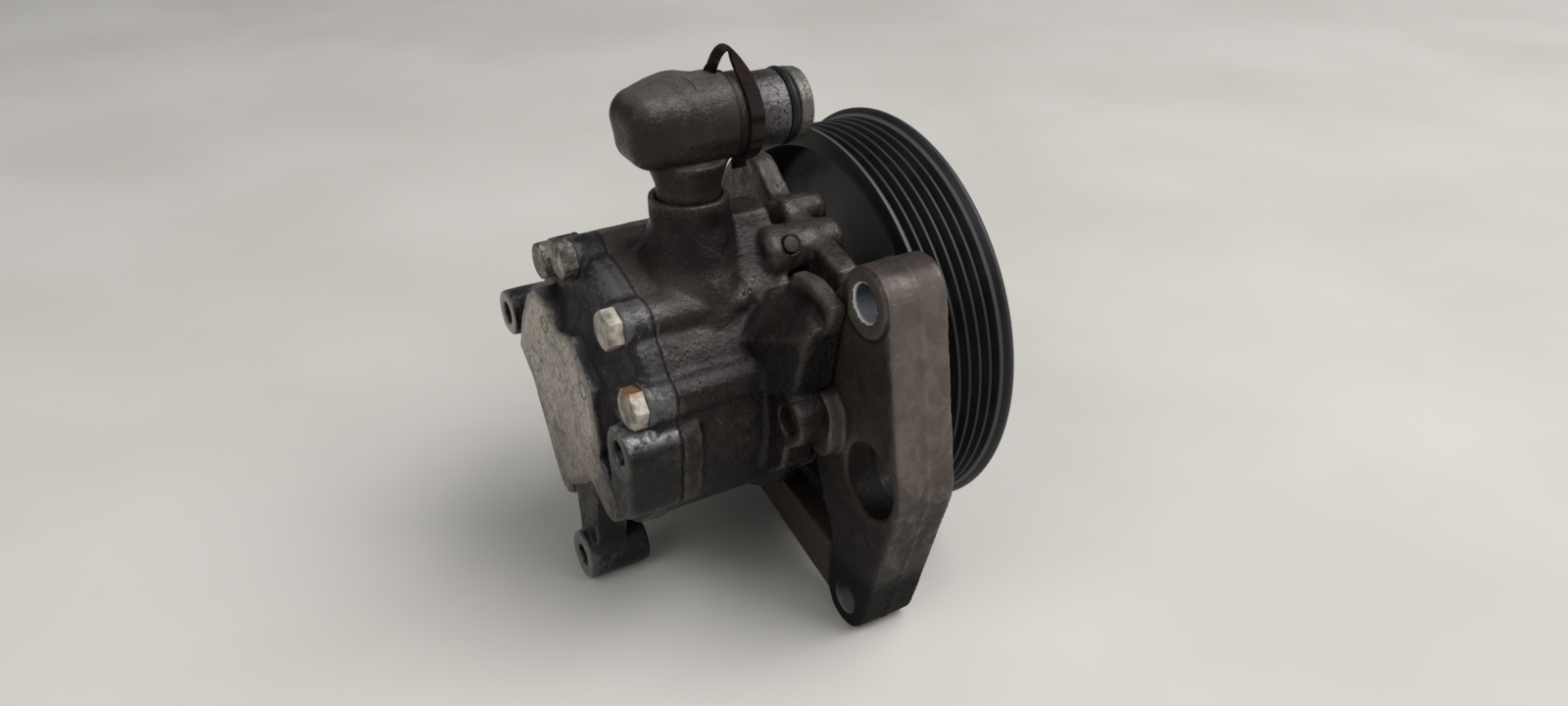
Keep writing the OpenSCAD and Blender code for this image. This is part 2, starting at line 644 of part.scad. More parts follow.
module bracket() {
    color([0.52, 0.5, 0.47]) difference() {
        union() {
            prism_x(x_brk, x_brk_front) {
                link(brk_upper, upper_boss_r, brk_light, light_r + light_wall);
                link(brk_light, light_r + light_wall, brk_lower, lower_boss_r);
                link(brk_upper, upper_boss_r - 1, ears[0], ear_r);
                link(ears[0], ear_r, ears[1], ear_r);
                polygon([brk_upper, ears[0], ears[1], brk_light]);
                polygon([ears[1] + [ear_r, 0], ears[1] + [ear_r, -22], brk_lower + [3, 8.5], brk_lower,
                    brk_light]);
            }
            // Lower arm to the foot of the housing
            prism_x(x_brk + 2, x_brk + 2 + arm_t) link(brk_lower, lower_boss_r - 0.5, ears[2], ear_r - 0.6);
            prism_x(x_brk, x_brk_front - 3) translate(ears[2]) circle(ear_r - 0.6);
            // Boss that meets the lower lug of the housing
            prism_x(x_brk - lug_step, x_brk) link(ears[1], 6.6, ears[1] + [-0.4, -6.5], 6.4);
        }
        rod_x(upper_bore_r, x_brk - 1, x_brk_front + 1, brk_upper);
        rod_x(lower_bore_r, x_brk - 1, x_brk_front + 1, brk_lower);
        rod_x(light_r, x_brk - 1, x_brk_front + 1, brk_light);
        for (e = ears) rod_x(bracket_bolt_r + 0.3, x_brk - lug_step - 1, x_brk_front + 1, e);
    }
}

module bracket_bolts() {
    color([0.5, 0.5, 0.48]) for (k = [0:2]) {
        seat = k == 2 ? x_brk_front - 3 : x_brk_front;
        rod_x(bracket_bolt_r, x_brk - (k == 2 ? arm_bolt_depth : 10), seat + 0.1, ears[k]);
        hex_x(13, seat, seat + 5.3, ears[k]);
    }
}

module inlet_elbow() {
    x_n = -port_d;
    color([0.36, 0.33, 0.3]) difference() {
        union() {
            // Neck, with the shoulder on the port rim
            translate([x_n, -port_off, port_top_z - neck_depth])
                cylinder(r = neck_r, h = spigot_z - port_top_z + neck_depth);
            translate([x_n, -port_off, port_top_z + 3]) cylinder(r1 = neck_r, r2 = neck_r + 2.5, h = 7);
            // Rounded head
            hull() {
                for (q = [[-12.3, -4, 3.2], [-12.4, 4.1, 3.3], [-11.7, -3.7, -3.2], [-11.6, 3.8, -3.1]])
                    translate([x_n + q[0], -port_off + q[1], spigot_z + q[2]]) sphere(r = 6, $fn = 22);
                for (q = [[-6.5, 2.7], [6.5, 7.2], [-6.5, -4.8], [6.5, -5.8]])
                    translate([x_n - 2.5, -port_off + q[0], spigot_z + q[1]]) rotate([0, 90, 0])
                        cylinder(r = 3.5, h = 12.5, $fn = 32);
            }
            // Collar and spigot
            rod_x(collar_r, x_n, x_clip, [-port_off, spigot_z]);
            rod_x(spigot_r, x_n, x_spigot_end - 2.4, [-port_off, spigot_z]);
            rod_x(spigot_r - 0.3, x_n, x_spigot_end, [-port_off, spigot_z]);
        }
        // Passage round the corner
        translate([x_n, -port_off, port_top_z - neck_depth - 1])
            cylinder(r = elbow_bore_r - 1, h = spigot_z - port_top_z + neck_depth + 1);
        rod_x(elbow_bore_r, x_n - 5, x_spigot_end + 1, [-port_off, spigot_z]);
        // Groove for the clip and groove for the seal
        translate([0, -port_off, spigot_z]) turn_x() {
            polygon([[collar_r - 1.2, x_clip - 3.4], [collar_r + 1, x_clip - 3.4],
                [collar_r + 1, x_clip - 1.2], [collar_r - 1.2, x_clip - 1.2]]);
            polygon([[spigot_r - 2.3, x_spigot_end - 6.9], [spigot_r + 1, x_spigot_end - 6.9],
                [spigot_r + 1, x_spigot_end - 4.1], [spigot_r - 2.3, x_spigot_end - 4.1]]);
        }
        // Groove for the neck seal
        translate([x_n, -port_off, port_top_z - 7]) difference() {
            cylinder(r = neck_r + 1, h = 2.2);
            translate([0, 0, -1]) cylinder(r = neck_r - 1.7, h = 5);
        }
    }
}

module neck_seal() {
    color([0.1, 0.1, 0.1]) translate([-port_d, -port_off, port_top_z - 5.9])
        rotate_extrude() translate([neck_r - 0.82, 0]) circle(0.8, $fn = 24);
}

module spigot_seal() {
    color([0.08, 0.08, 0.09]) translate([0, -port_off, spigot_z]) turn_x()
        translate([spigot_r - 0.9, x_spigot_end - 5.5]) circle(spigot_seal_r, $fn = 32);
}

module elbow_clip() {
    xc = x_clip - 2.3;
    color([0.35, 0.2, 0.14]) translate([0, -port_off, spigot_z]) {
        difference() {
            turn_x() polygon([[collar_r - 1.1, xc - 0.9], [collar_r + 0.9, xc - 0.9],
                [collar_r + 0.9, xc + 0.9], [collar_r - 1.1, xc + 0.9]]);
            // Gap of the open ring at the bottom
            translate([xc - 5, -1.5, -collar_r - 5]) cube([10, 9, 8]);
        }
        // Loop on top and tab below
        difference() {
            translate([xc - 4.9, -2, collar_r + 1.9]) rotate([-90, 0, 0]) difference() {
                cylinder(r = 4.7, h = 4);
                translate([0, 0, -1]) cylinder(r = 3.3, h = 6);
            }
            translate([xc - 15, -5, collar_r - 8]) cube([20, 10, 9.9]);
        }
        translate([xc - 1.6, -2, collar_r + 0.3]) cube([1.4, 4, 1.6]);
        translate([xc - 9.6, -2, collar_r + 0.3]) cube([1.4, 4, 1.6]);
        translate([xc - 2, -3.6, -collar_r - 4.3]) cube([1.8, 2.4, 4.2]);
    }
}

housing();
rear_cover();
cover_bolts();
cover_seal();
rear_plate();
cam_ring();
front_plate();
locating_pins();
front_bush();
rear_bush();
shaft_seal();
shaft();
pulley();
rotor();
rotor_circlip();
vane_01();
vane_02();
vane_03();
vane_04();
vane_05();
vane_06();
vane_07();
vane_08();
vane_09();
vane_10();
valve_spool();
valve_spring();
valve_plug();
valve_plug_seal();
drill_plug();
bracket();
bracket_bolts();
inlet_elbow();
neck_seal();
spigot_seal();
elbow_clip();
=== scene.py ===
import math
from types import SimpleNamespace

import bmesh
import bpy
import numpy as np
from mathutils import Matrix, Vector, noise


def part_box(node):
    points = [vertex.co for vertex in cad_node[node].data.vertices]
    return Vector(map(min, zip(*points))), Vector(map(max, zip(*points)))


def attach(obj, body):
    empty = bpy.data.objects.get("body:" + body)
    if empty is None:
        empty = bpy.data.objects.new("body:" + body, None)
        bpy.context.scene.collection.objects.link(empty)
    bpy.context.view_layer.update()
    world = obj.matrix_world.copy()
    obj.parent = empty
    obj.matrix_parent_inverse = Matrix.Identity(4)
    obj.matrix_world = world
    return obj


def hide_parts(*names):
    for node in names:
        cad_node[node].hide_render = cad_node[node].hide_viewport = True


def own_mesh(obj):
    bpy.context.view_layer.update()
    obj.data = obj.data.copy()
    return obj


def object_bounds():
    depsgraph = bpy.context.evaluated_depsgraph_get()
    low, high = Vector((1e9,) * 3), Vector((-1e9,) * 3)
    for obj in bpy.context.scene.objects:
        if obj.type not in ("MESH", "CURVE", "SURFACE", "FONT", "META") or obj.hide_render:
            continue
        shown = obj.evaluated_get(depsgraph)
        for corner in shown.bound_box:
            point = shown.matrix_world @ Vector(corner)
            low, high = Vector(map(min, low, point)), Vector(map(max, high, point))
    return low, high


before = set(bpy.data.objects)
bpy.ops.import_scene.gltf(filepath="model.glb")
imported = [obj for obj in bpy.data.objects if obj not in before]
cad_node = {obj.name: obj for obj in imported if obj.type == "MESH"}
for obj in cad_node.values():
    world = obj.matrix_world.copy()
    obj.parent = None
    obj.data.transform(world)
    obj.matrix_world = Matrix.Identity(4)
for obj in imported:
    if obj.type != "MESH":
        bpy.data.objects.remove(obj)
cad_low, cad_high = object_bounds()
scene = bpy.context.scene


# Housing. A sand-cast aluminium barrel with bolt rails, port boss, flange and lugs, bored for the
# shaft, the cartridge and the valve. Its skin is oily brown-grey, rough, and rubbed pale on its edges.
def put(tree, kind, inputs=(), **settings):
    """New shader node, with each input linked to a socket or set to a value."""
    made = tree.nodes.new("ShaderNode" + kind)
    for key, value in settings.items():
        setattr(made, key, value)
    for key, value in dict(inputs).items():
        if isinstance(value, bpy.types.NodeSocket):
            tree.links.new(value, made.inputs[key])
        else:
            made.inputs[key].default_value = value
    return made


def sums(tree, operation, first, second):
    """Two values put together by a Math node."""
    return put(tree, "Math", {0: first, 1: second}, operation=operation).outputs[0]


def both(tree, first, *others):
    """Masks multiplied, so that every one of them has to hold."""
    for other in others:
        first = sums(tree, "MULTIPLY", first, other)
    return first


def steps(tree, value, start, end, to_start=0.0, to_end=1.0):
    """Smooth change from to_start to to_end while the value goes from start to end."""
    bounds = {"Value": value, "From Min": start, "From Max": end, "To Min": to_start, "To Max": to_end}
    return put(tree, "MapRange", bounds, interpolation_type="SMOOTHSTEP").outputs["Result"]


def ragged(tree, value, pattern, reach):
    """A measure made uneven by a pattern."""
    return sums(tree, "ADD", value, both(tree, pattern, reach))


def distance(tree, point, centre):
    """Distance of a shaded point from a place on the pump."""
    return put(tree, "VectorMath", {0: point, 1: centre}, operation="DISTANCE").outputs["Value"]


def blend_colour(tree, amount, under, over):
    """One colour laid over another by an amount."""
    return put(tree, "Mix", {0: amount, 6: under, 7: over}, data_type="RGBA").outputs[2]


def mottled(tree, pattern, start, end, dark, light):
    """Two tones in the patches of a pattern."""
    return blend_colour(tree, steps(tree, pattern, start, end), dark, light)


def tint(tree, tone, colour, mask, share=1.0):
    """Tone covered by a colour where the mask says, up to a share."""
    return blend_colour(tree, both(tree, mask, share), tone, colour)


def shade(tree, tone, mask, share):
    """Tone darkened to a share where the mask says, and a little browner."""
    brown = (share, share * 0.97, share * 0.95, 1)
    return put(tree, "Mix", {0: mask, 6: tone, 7: brown}, data_type="RGBA", blend_type="MULTIPLY").outputs[2]


def new_material(name):
    """New material with its node tree, its shader and the place on the pump."""
    material = bpy.data.materials.new(name)
    material.use_nodes = True
    tree = material.node_tree
    return material, tree, tree.nodes["Principled BSDF"], put(tree, "TexCoord").outputs["Object"]


def new_group(name, inputs, outputs):
    """New node group for an effect that several materials share."""
    group = bpy.data.node_groups.new(name, "ShaderNodeTree")
    for label, kind, value in inputs:
        socket = group.interface.new_socket(label, in_out="INPUT", socket_type=kind)
        if value is not None:
            socket.default_value = value
    for label in outputs:
        group.interface.new_socket(label, in_out="OUTPUT", socket_type="NodeSocketFloat")
    return group, group.nodes.new("NodeGroupInput").outputs, group.nodes.new("NodeGroupOutput").inputs


# Grain of a sand casting: fine grit on soft lumps, with pits, and a slow cloud for patches of tone.
cast_grain, given, out = new_group(
    "cast_grain",
    [("Vector", "NodeSocketVector", None), ("Grain", "NodeSocketFloat", 900.0),
     ("Patch", "NodeSocketFloat", 45.0)],
    ["Height", "Cloud", "Fine", "Pits"])
lump_size = both(cast_grain, given["Grain"], 0.24)
pit_size = both(cast_grain, given["Grain"], 0.42)
fine = put(cast_grain, "TexNoise", {"Vector": given["Vector"], "Scale": given["Grain"], "Detail": 5.0,
                                    "Roughness": 0.62}).outputs["Fac"]
lumps = put(cast_grain, "TexNoise", {"Vector": given["Vector"], "Scale": lump_size, "Detail": 3.0}).outputs["Fac"]
cloud = put(cast_grain, "TexNoise", {"Vector": given["Vector"], "Scale": given["Patch"], "Detail": 6.0,
                                     "Roughness": 0.6, "Distortion": 0.4}).outputs["Fac"]
holes = put(cast_grain, "TexVoronoi", {"Vector": given["Vector"], "Scale": pit_size, "Randomness": 1.0})
pits = both(cast_grain, steps(cast_grain, holes.outputs["Distance"], 0.30, 0.08),
            steps(cast_grain, lumps, 0.52, 0.66))
height = sums(cast_grain, "ADD", both(cast_grain, fine, 0.6), lumps)
height = sums(cast_grain, "SUBTRACT", height, both(cast_grain, pits, 0.5))
for label, value in (("Height", height), ("Cloud", cloud), ("Fine", fine), ("Pits", pits)):
    cast_grain.links.new(value, out[label])

# Wear of a casting: rubbed where it stands out, grimy where it lies deep, both with ragged borders.
rub_and_grime, given, out = new_group(
    "rub_and_grime",
    [("Relief", "NodeSocketFloat", 0.0), ("Cloud", "NodeSocketFloat", 0.5), ("Fine", "NodeSocketFloat", 0.5)],
    ["Rubbed", "Grime"])
gritty = both(rub_and_grime, sums(rub_and_grime, "SUBTRACT", given["Fine"], 0.5), 1.1)
patchy = both(rub_and_grime, sums(rub_and_grime, "SUBTRACT", given["Cloud"], 0.5), 2.0)
stands_out = sums(rub_and_grime, "ADD", sums(rub_and_grime, "ADD", given["Relief"], gritty), patchy)
lies_deep = sums(rub_and_grime, "SUBTRACT", patchy, given["Relief"])
rub_and_grime.links.new(steps(rub_and_grime, stands_out, 0.14, 0.50), out["Rubbed"])
rub_and_grime.links.new(steps(rub_and_grime, lies_deep, 0.02, 0.40), out["Grime"])


def place_grain(tree, where, grain, patch):
    """The casting's grain in a material, at the fineness of its grit and of its patches."""
    return put(tree, "Group", {"Vector": where, "Grain": grain, "Patch": patch}, node_tree=cast_grain).outputs


def merged_copy(node):
    """Copy of a node's solid with its loose triangles joined."""
    copy = cad_node[node].data.copy()
    copy.materials.clear()
    bm = bmesh.new()
    bm.from_mesh(copy)
    bmesh.ops.remove_doubles(bm, verts=bm.verts, dist=1e-6)
    return copy, bm


def points_mm(mesh):
    """The mesh's points as rows of X, Y and Z in mm."""
    place = np.empty(len(mesh.vertices) * 3)
    mesh.vertices.foreach_get("co", place)
    return place.reshape(-1, 3) * 1000


def even_net(node, name, cell):
    """A solid's copy as a piece with an even net of small faces."""
    copy, bm = merged_copy(node)
    bm.to_mesh(copy)
    bm.free()
    piece = bpy.data.objects.new(name, copy)
    scene.collection.objects.link(piece)
    net = piece.modifiers.new("even_net", "REMESH")
    net.mode = "VOXEL"
    net.voxel_size = cell
    net.use_smooth_shade = True
    bpy.context.view_layer.update()
    mesh = bpy.data.meshes.new_from_object(piece.evaluated_get(bpy.context.evaluated_depsgraph_get()))
    piece.modifiers.clear()
    piece.data = mesh
    mesh.materials.clear()
    return piece


def mark_surface(mesh, cell, machined):
    """Keep as attributes how far the skin stands out of its softened form, and which way it faces."""
    place = points_mm(mesh)
    ends = np.empty(len(mesh.edges) * 2, dtype=np.int64)
    mesh.edges.foreach_get("vertices", ends)
    a, b = ends.reshape(-1, 2).T
    count = np.bincount(ends, minlength=len(place)).astype(float)[:, None]
    soft = place.copy()
    softenings = int(10 / (cell * 1000) ** 2) + 4
    for _ in range(softenings):
        total = np.stack([np.bincount(a, soft[b, k], len(place)) + np.bincount(b, soft[a, k], len(place))
                          for k in range(3)], axis=1)
        soft = 0.4 * soft + 0.6 * total / count
    normal = np.empty(len(place) * 3)
    mesh.vertex_normals.foreach_get("vector", normal)
    normal = normal.reshape(-1, 3)
    relief = np.einsum("ij,ij->i", place - soft, normal) * ~machined(place)
    for label, values in (("relief", relief), ("upward", normal[:, 2]), ("nearside", -normal[:, 1])):
        mesh.attributes.new(label, "FLOAT", "POINT").data.foreach_set("value", values.astype(np.float32))


def cast_skin(node, name, cell, rounds, machined, raised=None, joint=None):
    """A casting's piece: cast edges rounded, skin uneven, machined faces left true, and the rim of a
    joint filled again, so that the joint's line stays thin."""
    uneven_mm, wide_waves, short_waves = 0.10, 170, 460
    joint_reach, joint_fill = 1.3 * cell, 0.36 * cell
    skin = even_net(node, name, cell)
    mesh = skin.data
    cut = machined(points_mm(mesh))
    bm = bmesh.new()
    bm.from_mesh(mesh)
    bm.verts.ensure_lookup_table()
    cast = [v for v, flat in zip(bm.verts, cut) if not flat]
    for _ in range(rounds):
        bmesh.ops.smooth_vert(bm, verts=cast, factor=0.5, use_axis_x=True, use_axis_y=True, use_axis_z=True)
    bm.normal_update()
    shifts = []
    for v in cast:
        lift = uneven_mm * (noise.noise(v.co * wide_waves) + 0.5 * noise.noise(v.co * short_waves))
        if raised is not None:
            lift += raised(v.co * 1000, v.normal)
        shifts.append((v, v.normal * lift / 1000))
    if joint is not None:
        shifts += [(v, v.normal * joint_fill) for v in bm.verts
                   if abs(v.co.x - joint) < joint_reach and 0.2 < abs(v.normal.x) < 0.97]
    for v, shift in shifts:
        v.co += shift
    bm.normal_update()
    bm.to_mesh(mesh)
    bm.free()
    mark_surface(mesh, cell, machined)
    mesh.polygons.foreach_set("use_smooth", np.ones(len(mesh.polygons), dtype=bool))
    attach(skin, "body")
    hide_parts(node)
    return skin


def cast_finish(name, oily, grey, pale, dirt, grain, patch, rough, bump, under, rub_and_glint, metal=0.25):
    """Material of a used casting: oily and grey patches, pale rubbed edges, painted glints, dirt in hollows,
    painted shade on faces that don't face up, grain.
    """
    material, tree, shader, where = new_material(name)
    grit = place_grain(tree, where, grain, patch)
    relief = put(tree, "Attribute", attribute_name="relief").outputs["Fac"]
    upward = put(tree, "Attribute", attribute_name="upward").outputs["Fac"]
    wear = put(tree, "Group", {"Relief": relief, "Cloud": grit["Cloud"], "Fine": grit["Fine"]},
               node_tree=rub_and_grime).outputs
    blotch = put(tree, "TexNoise", {"Vector": where, "Scale": patch * 4.5, "Detail": 4.0, "Roughness": 0.7,
                                    "Distortion": 0.8}).outputs["Fac"]
    tone = mottled(tree, grit["Cloud"], 0.36, 0.66, oily, grey)
    tone = tint(tree, tone, dirt, steps(tree, blotch, 0.52, 0.36), 0.55)
    # Painted shade: faces that don't face up are darkened, down to the share under on walls and undersides.
    tone = shade(tree, tone, steps(tree, ragged(tree, upward, blotch, 0.9), 0.30, 1.15, 1.0, 0.0), under)
    # Painted glints: fine pale specks in patches of the grit.
    glint = both(tree, steps(tree, grit["Fine"], 0.57, 0.74), steps(tree, blotch, 0.46, 0.62))
    tone = tint(tree, tone, pale, glint, rub_and_glint + 0.1)
    tone = tint(tree, tone, pale, wear["Rubbed"], rub_and_glint)
    tone = tint(tree, tone, dirt, wear["Grime"], 0.80)
    tone = tint(tree, tone, dirt, grit["Pits"], 0.75)
    shine = steps(tree, grit["Cloud"], 0.3, 0.7, rough - 0.10, rough + 0.10)
    shine = sums(tree, "SUBTRACT", shine, both(tree, wear["Rubbed"], 0.14))
    shine = sums(tree, "SUBTRACT", shine, steps(tree, blotch, 0.48, 0.64, 0.0, 0.20))
    grain_bump = put(tree, "Bump", {"Strength": bump, "Distance": 0.0006, "Height": grit["Height"]})
    tree.links.new(tone, shader.inputs["Base Color"])
    tree.links.new(shine, shader.inputs["Roughness"])
    tree.links.new(grain_bump.outputs["Normal"], shader.inputs["Normal"])
    shader.inputs["Metallic"].default_value = metal
    shader.inputs["Specular IOR Level"].default_value = 0.34
    axes = put(tree, "SeparateXYZ", {"Vector": where}).outputs
    return material, SimpleNamespace(tree=tree, shader=shader, where=where, axes=axes, grit=grit, tone=tone,
                                     shine=shine, blotch=blotch, upward=upward, relief=relief)


cover_joint = -0.079
valve_bore_x, valve_bore_y, valve_bore_r, valve_bore_top = -36, 24, 6.9, 19
chamber_r, chamber_wall, shaft_bore_r, rear_face = 31.6, -46.4, 13.4, -78.1


def bored_housing(p):
    """Points of the rear face, the chamber, the shaft bore and the valve bore."""
    radius = np.hypot(p[:, 1], p[:, 2])
    from_valve = np.hypot(p[:, 0] - valve_bore_x, p[:, 1] - valve_bore_y)
    in_chamber = (radius < chamber_r) & (p[:, 0] < chamber_wall)
    in_valve = (from_valve < valve_bore_r) & (p[:, 2] < valve_bore_top)
    return (p[:, 0] < rear_face) | in_chamber | (radius < shaft_bore_r) | in_valve


housing = cast_skin("housing", "housing_casting", 0.0008, 3, bored_housing, joint=cover_joint)
housing_metal, look = cast_finish(
    "housing_metal", oily=(0.0215, 0.0152, 0.0140, 1), grey=(0.054, 0.0425, 0.0395, 1),
    pale=(0.28, 0.255, 0.23, 1), dirt=(0.007, 0.0050, 0.0045, 1),
    grain=980, patch=38, rough=0.45, bump=0.8, under=0.5, rub_and_glint=0.18)
tree, axes, tone = look.tree, look.axes, look.tone
dry_flange = both(tree, steps(tree, ragged(tree, axes["X"], look.blotch, 0.008), -0.0395, -0.0355),
                  steps(tree, axes["Z"], 0.030, 0.036))
dusty = mottled(tree, look.blotch, 0.36, 0.64, (0.025, 0.020, 0.018, 1), (0.076, 0.063, 0.054, 1))
tone = tint(tree, tone, dusty, dry_flange, 0.75)
# Darker round the block on the near side.
dark_patch_centre = (-0.046, -0.046, 0.020)
from_dark_patch = ragged(tree, distance(tree, look.where, dark_patch_centre), look.blotch, 0.010)
tone = shade(tree, tone, steps(tree, from_dark_patch, 0.026, 0.016), 0.38)
port_axis = (-0.0595, -0.012, 0)
on_plan = put(tree, "CombineXYZ", {"X": axes["X"], "Y": axes["Y"]}).outputs[0]
from_port = distance(tree, on_plan, port_axis)
# Painted shade round the foot of the port boss, where it meets the barrel.
port_foot = both(tree, steps(tree, from_port, 0.023, 0.018), steps(tree, axes["Z"], 0.036, 0.042),
                 steps(tree, axes["X"], -0.072, -0.065))
tone = shade(tree, tone, port_foot, 0.55)
# Painted light: the upper barrel behind the port boss made lighter, where the port boss and the elbow shade it.
painted_light_back = both(tree, steps(tree, axes["X"], -0.062, -0.068), steps(tree, axes["Z"], 0.026, 0.034),
                steps(tree, from_port, 0.0125, 0.016), steps(tree, axes["Y"], -0.031, -0.023))
tone = tint(tree, tone, (0.085, 0.069, 0.064, 1), painted_light_back, 0.6)
plug_low, plug_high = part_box("drill_plug")
plug_middle = [(a + b) / 2 for a, b in zip(plug_low, plug_high)]
plug_seat = steps(tree, distance(tree, look.where, plug_middle), 0.0042, 0.0034)
tone = shade(tree, tone, plug_seat, 0.35)
# Painted shade on the port boss below the elbow.
port_boss = both(tree, steps(tree, from_port, 0.0145, 0.0130), steps(tree, axes["Z"], 0.034, 0.040))
tone = shade(tree, tone, port_boss, 0.74)
# Painted shade: the housing darker lower down, in two steps.
for top, bottom, share in ((0.032, 0.012, 0.74), (0.004, -0.020, 0.6)):
    tone = shade(tree, tone, steps(tree, axes["Z"], top, bottom), share)
tree.links.new(tone, look.shader.inputs["Base Color"])
housing.data.materials.append(housing_metal)

# Rear cover. A cast aluminium cover with three mounting bosses and a raised end, machined on the boss
# faces, purple-grey with silver rubbed patches and a chalky, cracked cream end. Hexagon screws hold it.
seat_face, tail_bore_r, tail_bore_end = -79.9, 9.2, -89.6
side_boss = (-34.8, 0.3)
# Place of each boss across the shaft in mm, and how bright its end is rubbed.
boss_shine = (((47, 5), 0.9), (side_boss, 0.45), ((0.7, -56.6), 0.5))
cast_rings, cast_ring_r = ((9.4, 18.1), (-16.2, 10.1)), 0.0023


def bored_cover(p):
    """Points of the seat on the housing and of the bore for the shaft's tail."""
    radius = np.hypot(p[:, 1], p[:, 2])
    return (p[:, 0] > seat_face) | (radius < tail_bore_r) & (p[:, 0] > tail_bore_end)


def from_bore(tree, axes, y, z):
    """Distance from a line along the shaft's direction, its place given in mm."""
    across = put(tree, "CombineXYZ", {"Y": axes["Y"], "Z": axes["Z"]}).outputs[0]
    return distance(tree, across, (0, y / 1000, z / 1000))


def off(tree, value, middle):
    """How far a measure lies from a middle, to either side."""
    return put(tree, "Math", {0: sums(tree, "SUBTRACT", value, middle)}, operation="ABSOLUTE").outputs[0]


cover = cast_skin("rear_cover", "rear_cover_casting", 0.0006, 4, bored_cover, joint=cover_joint)
cover_metal, look = cast_finish(
    "cover_metal", oily=(0.016, 0.0138, 0.0150, 1), grey=(0.045, 0.0400, 0.0425, 1),
    pale=(0.32, 0.31, 0.305, 1), dirt=(0.009, 0.0075, 0.0075, 1),
    grain=860, patch=52, rough=0.45, bump=0.7, under=0.45, rub_and_glint=0.22)
tree, axes, tone = look.tree, look.axes, look.tone
on_end = steps(tree, axes["X"], -0.09435, -0.0947)
beside_end = steps(tree, on_end, 1, 0)
sway = put(tree, "TexNoise", {"Vector": look.where, "Scale": 120.0, "Detail": 3.0}).outputs["Color"]
sway = put(tree, "VectorMath", {0: sway, 3: 0.006}, operation="SCALE").outputs[0]
bent = put(tree, "VectorMath", {0: look.where, 1: sway}, operation="ADD").outputs[0]
cracks = put(tree, "TexVoronoi", {"Vector": bent, "Scale": 290.0}, feature="DISTANCE_TO_EDGE").outputs["Distance"]
cracked = put(tree, "TexNoise", {"Vector": look.where, "Scale": 75.0, "Detail": 2.0}).outputs["Fac"]
cracks = both(tree, steps(tree, cracks, 0.085, 0.02), steps(tree, cracked, 0.47, 0.60))
edge_dirt = steps(tree, ragged(tree, look.relief, look.blotch, 0.25), 0.18, 0.34)
chalk = mottled(tree, look.grit["Cloud"], 0.30, 0.58, (0.23, 0.205, 0.178, 1), (0.43, 0.382, 0.325, 1))
chalk = tint(tree, chalk, (0.085, 0.074, 0.066, 1), steps(tree, look.blotch, 0.47, 0.30), 0.65)
chalk = tint(tree, chalk, (0.05, 0.042, 0.037, 1), steps(tree, look.grit["Fine"], 0.47, 0.38), 0.6)
chalk = tint(tree, chalk, (0.030, 0.024, 0.021, 1), cracks, 0.65)
chalk = tint(tree, chalk, (0.07, 0.061, 0.056, 1), edge_dirt, 0.55)
for y, z in cast_rings:
    ring = steps(tree, off(tree, from_bore(tree, axes, y, z), cast_ring_r), 0.0006, 0.0002)
    chalk = tint(tree, chalk, (0.040, 0.034, 0.030, 1), ring, 0.75)
chalk = shade(tree, chalk, steps(tree, ragged(tree, axes["Z"], look.blotch, 0.02), 0.014, -0.012), 0.6)
tone = tint(tree, tone, chalk, on_end)
boss_end = both(tree, steps(tree, axes["X"], -0.0934, -0.0938), beside_end)
for (y, z), share in boss_shine:
    ring = both(tree, boss_end, steps(tree, from_bore(tree, axes, y, z), 0.0078, 0.0072))
    tone = tint(tree, tone, (0.27, 0.255, 0.235, 1), ring, share)
lug_top = both(tree, steps(tree, from_bore(tree, axes, *side_boss), 0.0095, 0.0085),
               steps(tree, look.upward, 0.1, 0.7), steps(tree, look.blotch, 0.40, 0.62))
tone = tint(tree, tone, (0.30, 0.29, 0.295, 1), lug_top, 0.75)
# Painted shade on the near-side wall below the side lug.
lug_wall = both(tree, steps(tree, axes["Z"], 0.010, 0.005), steps(tree, axes["Y"], -0.022, -0.030),
                steps(tree, look.upward, 0.7, 0.3), beside_end)
tone = shade(tree, tone, lug_wall, 0.3)
tree.links.new(tone, look.shader.inputs["Base Color"])
cover.data.materials.append(cover_metal)


# Cover screws. Hexagon steel screws, zinc worn to a whitish grey, the lowest of the row with rust on
# its head. They hold the rear cover on the rails of the housing.
def eased_copy(node, name, width):
    """Copy of a turned or milled solid with its sharp edges broken."""
    copy, bm = merged_copy(node)
    bmesh.ops.dissolve_limit(bm, angle_limit=0.01, verts=bm.verts, edges=bm.edges)
    sharp = [e for e in bm.edges if len(e.link_faces) == 2 and e.calc_face_angle() > 0.45]
    bmesh.ops.bevel(bm, geom=sharp, offset=width, offset_type="OFFSET", affect="EDGES", segments=2,
                    profile=0.5, material=-1, clamp_overlap=True)
    for face in bm.faces:
        face.smooth = True
    for edge in bm.edges:
        edge.smooth = len(edge.link_faces) != 2 or edge.calc_face_angle() < 0.6
    bm.to_mesh(copy)
    bm.free()
    piece = bpy.data.objects.new(name, copy)
    scene.collection.objects.link(piece)
    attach(piece, "body")
    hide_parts(node)
    return piece


